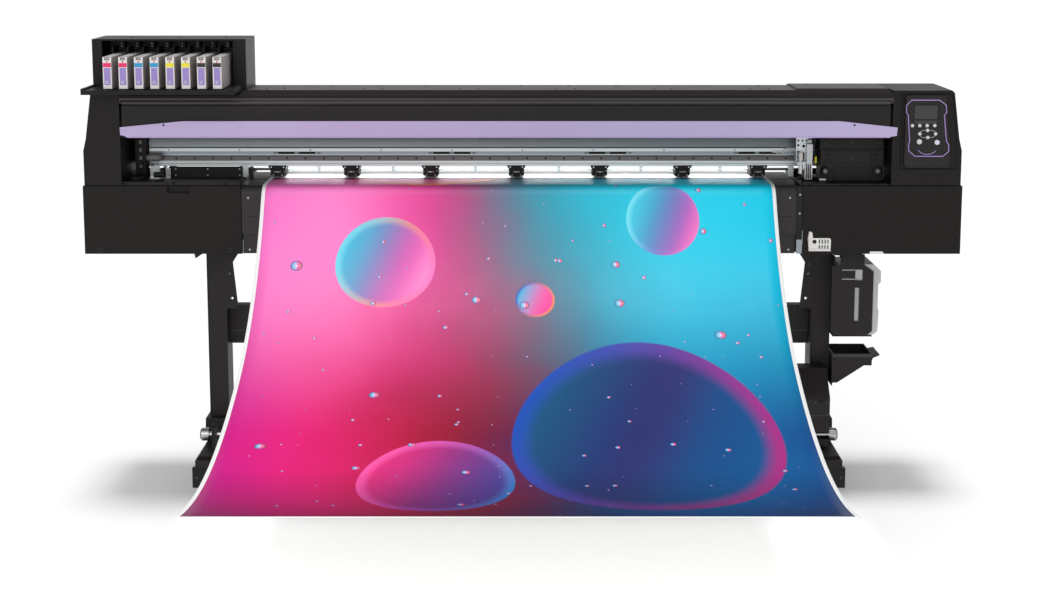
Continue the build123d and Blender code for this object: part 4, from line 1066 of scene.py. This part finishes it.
# ---- control panel ----------------------------------------------------------------------------
def panel_details():
    outline = [(1218, 1291), (1306, 1291), (1327, 1275), (1329, 1251), (1322, 1245), (1331, 1162),
               (1338, 1152), (1340, 1130), (1322, 1114), (1234, 1114), (1214, 1131), (1212, 1154),
               (1216, 1158), (1209, 1244), (1203, 1252), (1202.5, 1274)]
    ring = [(x, -12.4, z) for x, z in outline]
    Piece().tube(ring, 1.5, sides=10, closed=True).place("panel_outline", "violet_line")
    inner = [(1218 + (x - 1218) * 0.93 + 4, -12.2, 1202 + (z - 1202) * 0.94) for x, z in outline]
    Piece().tube(inner, 0.5, sides=8, closed=True).place("panel_inner_line", "black")
    Piece().block((1229, 1301), (-11.0, -10.2), (1231, 1274), 0.3).place("display", "glass")
    bezel = Piece()
    corners = [(1226.5, 1228.5), (1303.5, 1228.5), (1303.5, 1276.5), (1226.5, 1276.5)]
    bezel.tube([(x, -12.0, z) for x, z in corners], 0.9, sides=8, closed=True)
    bezel.place("display_bezel", "black")
    Piece().plate([(1226, 1227), (1303, 1227), (1299, 1219), (1292, 1217), (1236, 1217),
                   (1230, 1219)],
                  (-12.6, -11.8), 0.3).place("panel_key_bridge", "chassis")
    octagon = [(1256, 1196), (1287, 1196), (1297, 1190), (1297, 1179), (1287, 1173.5),
               (1256, 1173.5),
               (1247, 1179), (1247, 1190)]
    Piece().tube([(x, -12.1, z) for x, z in octagon], 0.55, sides=8, closed=True).place(
        "panel_arrow_line", "key")
    arc = [(1272 + 34 * math.sin(a), -12.2, 1150 - 30 * math.cos(a))
           for a in (math.radians(-58 + 8 * step) for step in range(15))]
    Piece().tube(arc, 1.0, sides=8).place("panel_arc", "violet_line")
    frame_line = [(1192, 1309), (1346, 1309), (1352, 1300), (1366, 1160), (1368, 1074),
                  (1200, 1072),
                  (1190, 1082)]
    line = Piece().tube([(x, -0.1, z) for x, z in frame_line], 0.9, sides=8, closed=True)
    line.place("panel_surround_line", "pit")
    Piece().block((1180, 1383), (-0.3, 0.3), (1070, 1071), 0).place("tower_seam", "pit")


# ---- stand ------------------------------------------------------------------------------------
def stand_details():
    bolts, seams, pads = Piece(), Piece(), Piece()
    for post in (-1005, 981):
        inward = 1 if post < 0 else -1
        for depth in (150, 230, 310):
            for side in (-34, 34):
                bolts.disc(post + side, depth, 152, 6, 5, axis="z", sides=6, bevel=0.6)
        for z in (166, 204):
            bolts.screw(post - 16, 133 if z < 180 else 139, z, 4.0)
            bolts.screw(post + 16, 133 if z < 180 else 139, z, 4.0)
        bolts.screw(post + inward * 42.5, 174.2, 734, 3.0)
        for z in (300, 430, 640):
            seams.block((post - 31.8, post - 31.2), (178, 272), (z, z + 0.8), 0)
        seams.block((post - 27, post - 26.2), (174.6, 175.2), (224, 768), 0)
        for depth in (-66.4, 636.4):
            front = depth < 0
            pads.block((post - 50, post + 50), (depth - 0.6, depth + 1.4), (54, 111), 0.8)
            for x in (post - 38, post + 38):
                bolts.screw(x, depth - 0.9 if front else depth + 1.6, 84, 4.2)
        for depth in (110, 465):
            bolts.disc(post, depth, 12, 13, 9, axis="z", sides=6, bevel=0.8)
            pads.disc(post, depth, 2.2, 31, 4.4, axis="z", sides=40, bevel=0.8)
    bolts.place("stand_bolts", "chassis")
    seams.place("stand_seams", "pit")
    pads.place("stand_pads", "rubber")
    beam = Piece().block((-972, 948), (233.2, 235), (498, 501), 0.6)
    beam.block((-972, 948), (233.4, 235), (456, 460), 0.6)
    beam.place("beam_ledges", "chassis")
    for end in ("front_left", "rear_left", "front_right", "rear_right"):
        wheel, fork = f"caster_wheel_{end}", f"caster_fork_{end}"
        low, high = node_box(wheel)
        centre = (low + high) / 2
        hub = Piece()
        for side in (-1, 1):
            hub.disc(centre.x + side * 13.2, centre.y, centre.z, 9, 1.2, axis="x", sides=28,
                     bevel=0.3)
            for turn in range(5):
                angle = math.tau * turn / 5
                hub.disc(centre.x + side * 11.4, centre.y + 15.5 * math.cos(angle),
                         centre.z + 15.5 * math.sin(angle), 2.6, 1.0, axis="x", sides=14, bevel=0.2)
        hub.place(f"{wheel}_hub", "grey", wheel)
        nuts = Piece()
        for side in (-1, 1):
            nuts.disc(centre.x + side * 19, centre.y, centre.z, 6, 3.4, axis="x", sides=6,
                      bevel=0.4)
        nuts.place(f"{fork}_nuts", "zinc", fork)


MIDDLE_X = -12
SHAFT = (60, 192)
ROLL_DEPTH, ROLL_Z = 500, 720


def takeup_details():
    rings = Piece()
    for end in (-1, 1):
        for shift in (1012, 1017, 1022, 1030):
            rings.disc(MIDDLE_X + end * shift, *SHAFT, 21.5, 1.6, axis="x", sides=44, bevel=0.4)
        rings.disc(MIDDLE_X + end * 1033.4, *SHAFT, 9, 2.2, axis="x", sides=30, bevel=0.5)
    rings.place("takeup_collar_rings", "zinc", "takeup_shaft")
    caps = Piece()
    for end in (-1, 1):
        caps.disc(MIDDLE_X + end * 1035, *SHAFT, 17, 3.2, axis="x", sides=40, bevel=0.8)
    caps.place("takeup_end_caps", "black", "takeup_shaft")
    lines = Piece().block((897, 994), (110.6, 112.4), (384, 387), 0.6)
    lines.block((897, 994), (28.9, 30.4), (311, 313), 0.5)
    lines.block((897, 994), (28.9, 30.4), (262, 264.4), 0.5)
    lines.place("takeup_drive_lines", "chassis")
    cover = Piece().plate([(902, 318), (990, 318), (990, 300), (984, 294), (902, 294)],
                          (27.8, 30.2), 0.8)
    cover.place("takeup_drive_plate", "powder")
    switch = Piece().block((958, 978), (24, 28.4), (299, 313), 1.2)
    switch.disc(968, 23.4, 306, 4.4, 3.0, sides=24, bevel=0.8)
    switch.place("takeup_switch", "black")
    screws = Piece()
    for x, z in ((985, 306), (948, 306), (988, 270), (906, 270), (906, 240), (988, 232)):
        screws.screw(x, 27.2 if z > 290 else 29.2 if z > 250 else 39.4, z, 2.8)
    screws.place("takeup_screws", "chassis")


def tank_details():
    marks = Piece()
    for z in (725.4, 695.4):
        marks.block((1037, 1080), (111.4, 112.2), (z, z + 1.8), 0)
    marks.place("tank_level_lines", "key")
    rims = Piece()
    for x, z in (((1080, 1095), (557, 668)), ((1080, 1105), (692, 728))):
        corners = [(x[0], z[0]), (x[1], z[0]), (x[1], z[1]), (x[0], z[1])]
        rims.tube([(a, 111.8, b) for a, b in corners], 0.8, sides=8, closed=True)
    rims.place("tank_window_rims", "chassis")
    screws = Piece()
    for x, z in ((1012, 720), (1012, 530), (1130, 530), (1122, 716), (1044, 766), (1096, 766),
                 (1022, 430), (1130, 432)):
        screws.screw(x, 111.2, z, 2.8)
    screws.place("tank_plate_screws", "black")
    rim = Piece().side([(107, 437), (112.4, 437), (112.4, 447.4), (110.6, 447.4)], (1012, 1144),
                       0.5)
    rim.place("tank_tray_rim", "chassis")
    tank = Piece()
    for z in (600, 678):
        tank.block((1040, 1156), (115.9, 117.2), (z, z + 1.2), 0.3)
    for z in range(610, 676, 11):
        tank.block((1156.4, 1158.4), (130, 244), (z, z + 3), 0.8)
    tank.block((1160, 1163.4), (140, 236), (530, 576), 1.2)
    tank.place("tank_mouldings", "tank", "waste_tank")
    cap = Piece().disc(1062, 190, 762, 19, 16, axis="z", sides=44, bevel=1.4)
    for step in range(22):
        angle = math.tau * step / 22
        cap.disc(1062 + 19 * math.cos(angle), 190 + 19 * math.sin(angle), 761, 1.2, 13, axis="z",
                 sides=8, bevel=0.3)
    cap.place("tank_cap", "black", "waste_tank")


def roll_details():
    layers = Piece()
    for end in (-1, 1):
        face = MIDDLE_X + end * 810
        for radius in (44, 52, 60, 67):
            circle = [(face + end * 0.6, ROLL_DEPTH + radius * math.cos(a),
                       ROLL_Z + radius * math.sin(a))
                      for a in (math.tau * step / 72 for step in range(72))]
            layers.tube(circle, 0.5, sides=6, closed=True)
    layers.place("roll_layers", "liner", "supply_roll")
    flanges = Piece()
    for end in (-1, 1):
        x = MIDDLE_X + end * 822.5
        for step in range(8):
            angle = math.tau * step / 8
            flanges.disc(x, ROLL_DEPTH + 58 * math.cos(angle), ROLL_Z + 58 * math.sin(angle), 9,
                         1.4, axis="x",
                         sides=24, bevel=0.4)
        flanges.disc(MIDDLE_X + end * 828, ROLL_DEPTH, ROLL_Z, 34, 12, axis="x", sides=44,
                     bevel=1.5)
        flanges.disc(MIDDLE_X + end * 843, ROLL_DEPTH, ROLL_Z, 18, 8, axis="x", sides=36, bevel=1.5)
    flanges.place("roll_flanges", "black", "supply_roll")
    bolts = Piece()
    for hand in (-1, 1):
        x = MIDDLE_X + hand * 880
        for depth, z in ((424, 900), (424, 840), (452, 820)):
            bolts.screw(x + hand * 5.6, depth, z, 4.0, axis="x")
        bolts.disc(x + hand * 8, ROLL_DEPTH, ROLL_Z, 20, 6, axis="x", sides=40, bevel=1.0)
    bolts.place("roll_hanger_bolts", "zinc")


for build in (cartridge_faces, cabinet_details, cover_details, tower_details, door_details,
              apron_details, bar_details, pinch_details, left_station, print_carriage_details,
              cutter_details, bay_interior, panel_details, stand_details, takeup_details,
              tank_details, roll_details):
    build()


# ---- studio and camera ------------------------------------------------------------------------
def studio():
    bm = bmesh.new()
    bmesh.ops.create_grid(bm, x_segments=2, y_segments=2, size=60)
    nodes = Nodes("floor")
    nodes.set("Base Color", (0.9, 0.9, 0.9, 1))
    nodes.set("Roughness", 0.8)
    nodes.set("Emission Color", (1, 1, 1, 1))
    split = nodes.add("ShaderNodeSeparateXYZ")
    nodes.link(nodes.coordinates(), split.inputs["Vector"])

    def fade(value, full, none):
        step = nodes.add("ShaderNodeMapRange", interpolation_type="SMOOTHSTEP")
        for socket, number in (("From Min", full), ("From Max", none), ("To Min", 1.0),
                               ("To Max", 0.0)):
            step.inputs[socket].default_value = number
        nodes.link(value, step.inputs["Value"])
        return step.outputs["Result"]

    # Painted light: the floor glows under and in front of the machine, fading out towards the sides
    # and behind the front, so the sheet's shadow does not show there.
    aside = fade(nodes.math("ABSOLUTE", split.outputs["X"]), 0.86, 1.12)
    ahead = fade(split.outputs["Y"], front_y - 0.35, front_y + 0.1)
    painted_floor_glow = nodes.math("MULTIPLY", nodes.math("MULTIPLY", aside, ahead), 0.5)
    nodes.link(painted_floor_glow, nodes.shader.inputs["Emission Strength"])
    floor = link_mesh("floor", bm, nodes.material)
    floor.location.z = -0.0005

    world = bpy.data.worlds.new("studio")
    bpy.context.scene.world = world
    world.use_nodes = True
    tree = world.node_tree
    seen_white = tree.nodes["Background"]
    seen_white.inputs["Color"].default_value = (1, 1, 1, 1)
    seen_white.inputs["Strength"].default_value = 1.0
    fill = tree.nodes.new("ShaderNodeBackground")
    fill.inputs["Color"].default_value = (1, 1, 1, 1)
    fill.inputs["Strength"].default_value = 0.62
    choose = tree.nodes.new("ShaderNodeMixShader")
    ray = tree.nodes.new("ShaderNodeLightPath")
    tree.links.new(ray.outputs["Is Camera Ray"], choose.inputs[0])
    tree.links.new(fill.outputs[0], choose.inputs[1])
    tree.links.new(seen_white.outputs[0], choose.inputs[2])
    tree.links.new(choose.outputs[0], tree.nodes["World Output"].inputs["Surface"])

    def softbox(name, place, target, size, power):
        data = bpy.data.lights.new(name, "AREA")
        data.shape = "RECTANGLE"
        data.size, data.size_y = size
        data.energy = power
        light = bpy.data.objects.new(name, data)
        light.location = place
        direction = Vector(target) - Vector(place)
        light.rotation_mode = "QUATERNION"
        light.rotation_quaternion = direction.to_track_quat("-Z", "Y")
        bpy.context.scene.collection.objects.link(light)

    data = bpy.data.lights.new("overhead", "SUN")
    data.energy = 1.7
    data.angle = math.radians(14)
    bpy.context.scene.collection.objects.link(bpy.data.objects.new("overhead", data))
    softbox("front", (-1.5, -5.6, 3.4), (0, 0, 0.9), (4.0, 3.0), 80)
    bay_y = front_y + 0.225
    softbox("bay_glow", (-0.012, bay_y, 1.054), (-0.012, bay_y, 1.0), (1.6, 0.05), 2.2)


def camera():
    data = bpy.data.cameras.new("camera")
    data.sensor_width = 36.0
    data.lens = 61.5
    data.shift_x = 0.0014
    data.shift_y = -0.09
    data.clip_start, data.clip_end = 0.05, 200
    view = bpy.data.objects.new("camera", data)
    view.location = (0.0, front_y - 5.6, 1.8174)
    view.rotation_euler = (math.radians(90 - 8.595), 0, 0)
    bpy.context.scene.collection.objects.link(view)
    bpy.context.scene.camera = view


studio()
camera()
bpy.context.scene.view_settings.view_transform = "Standard"
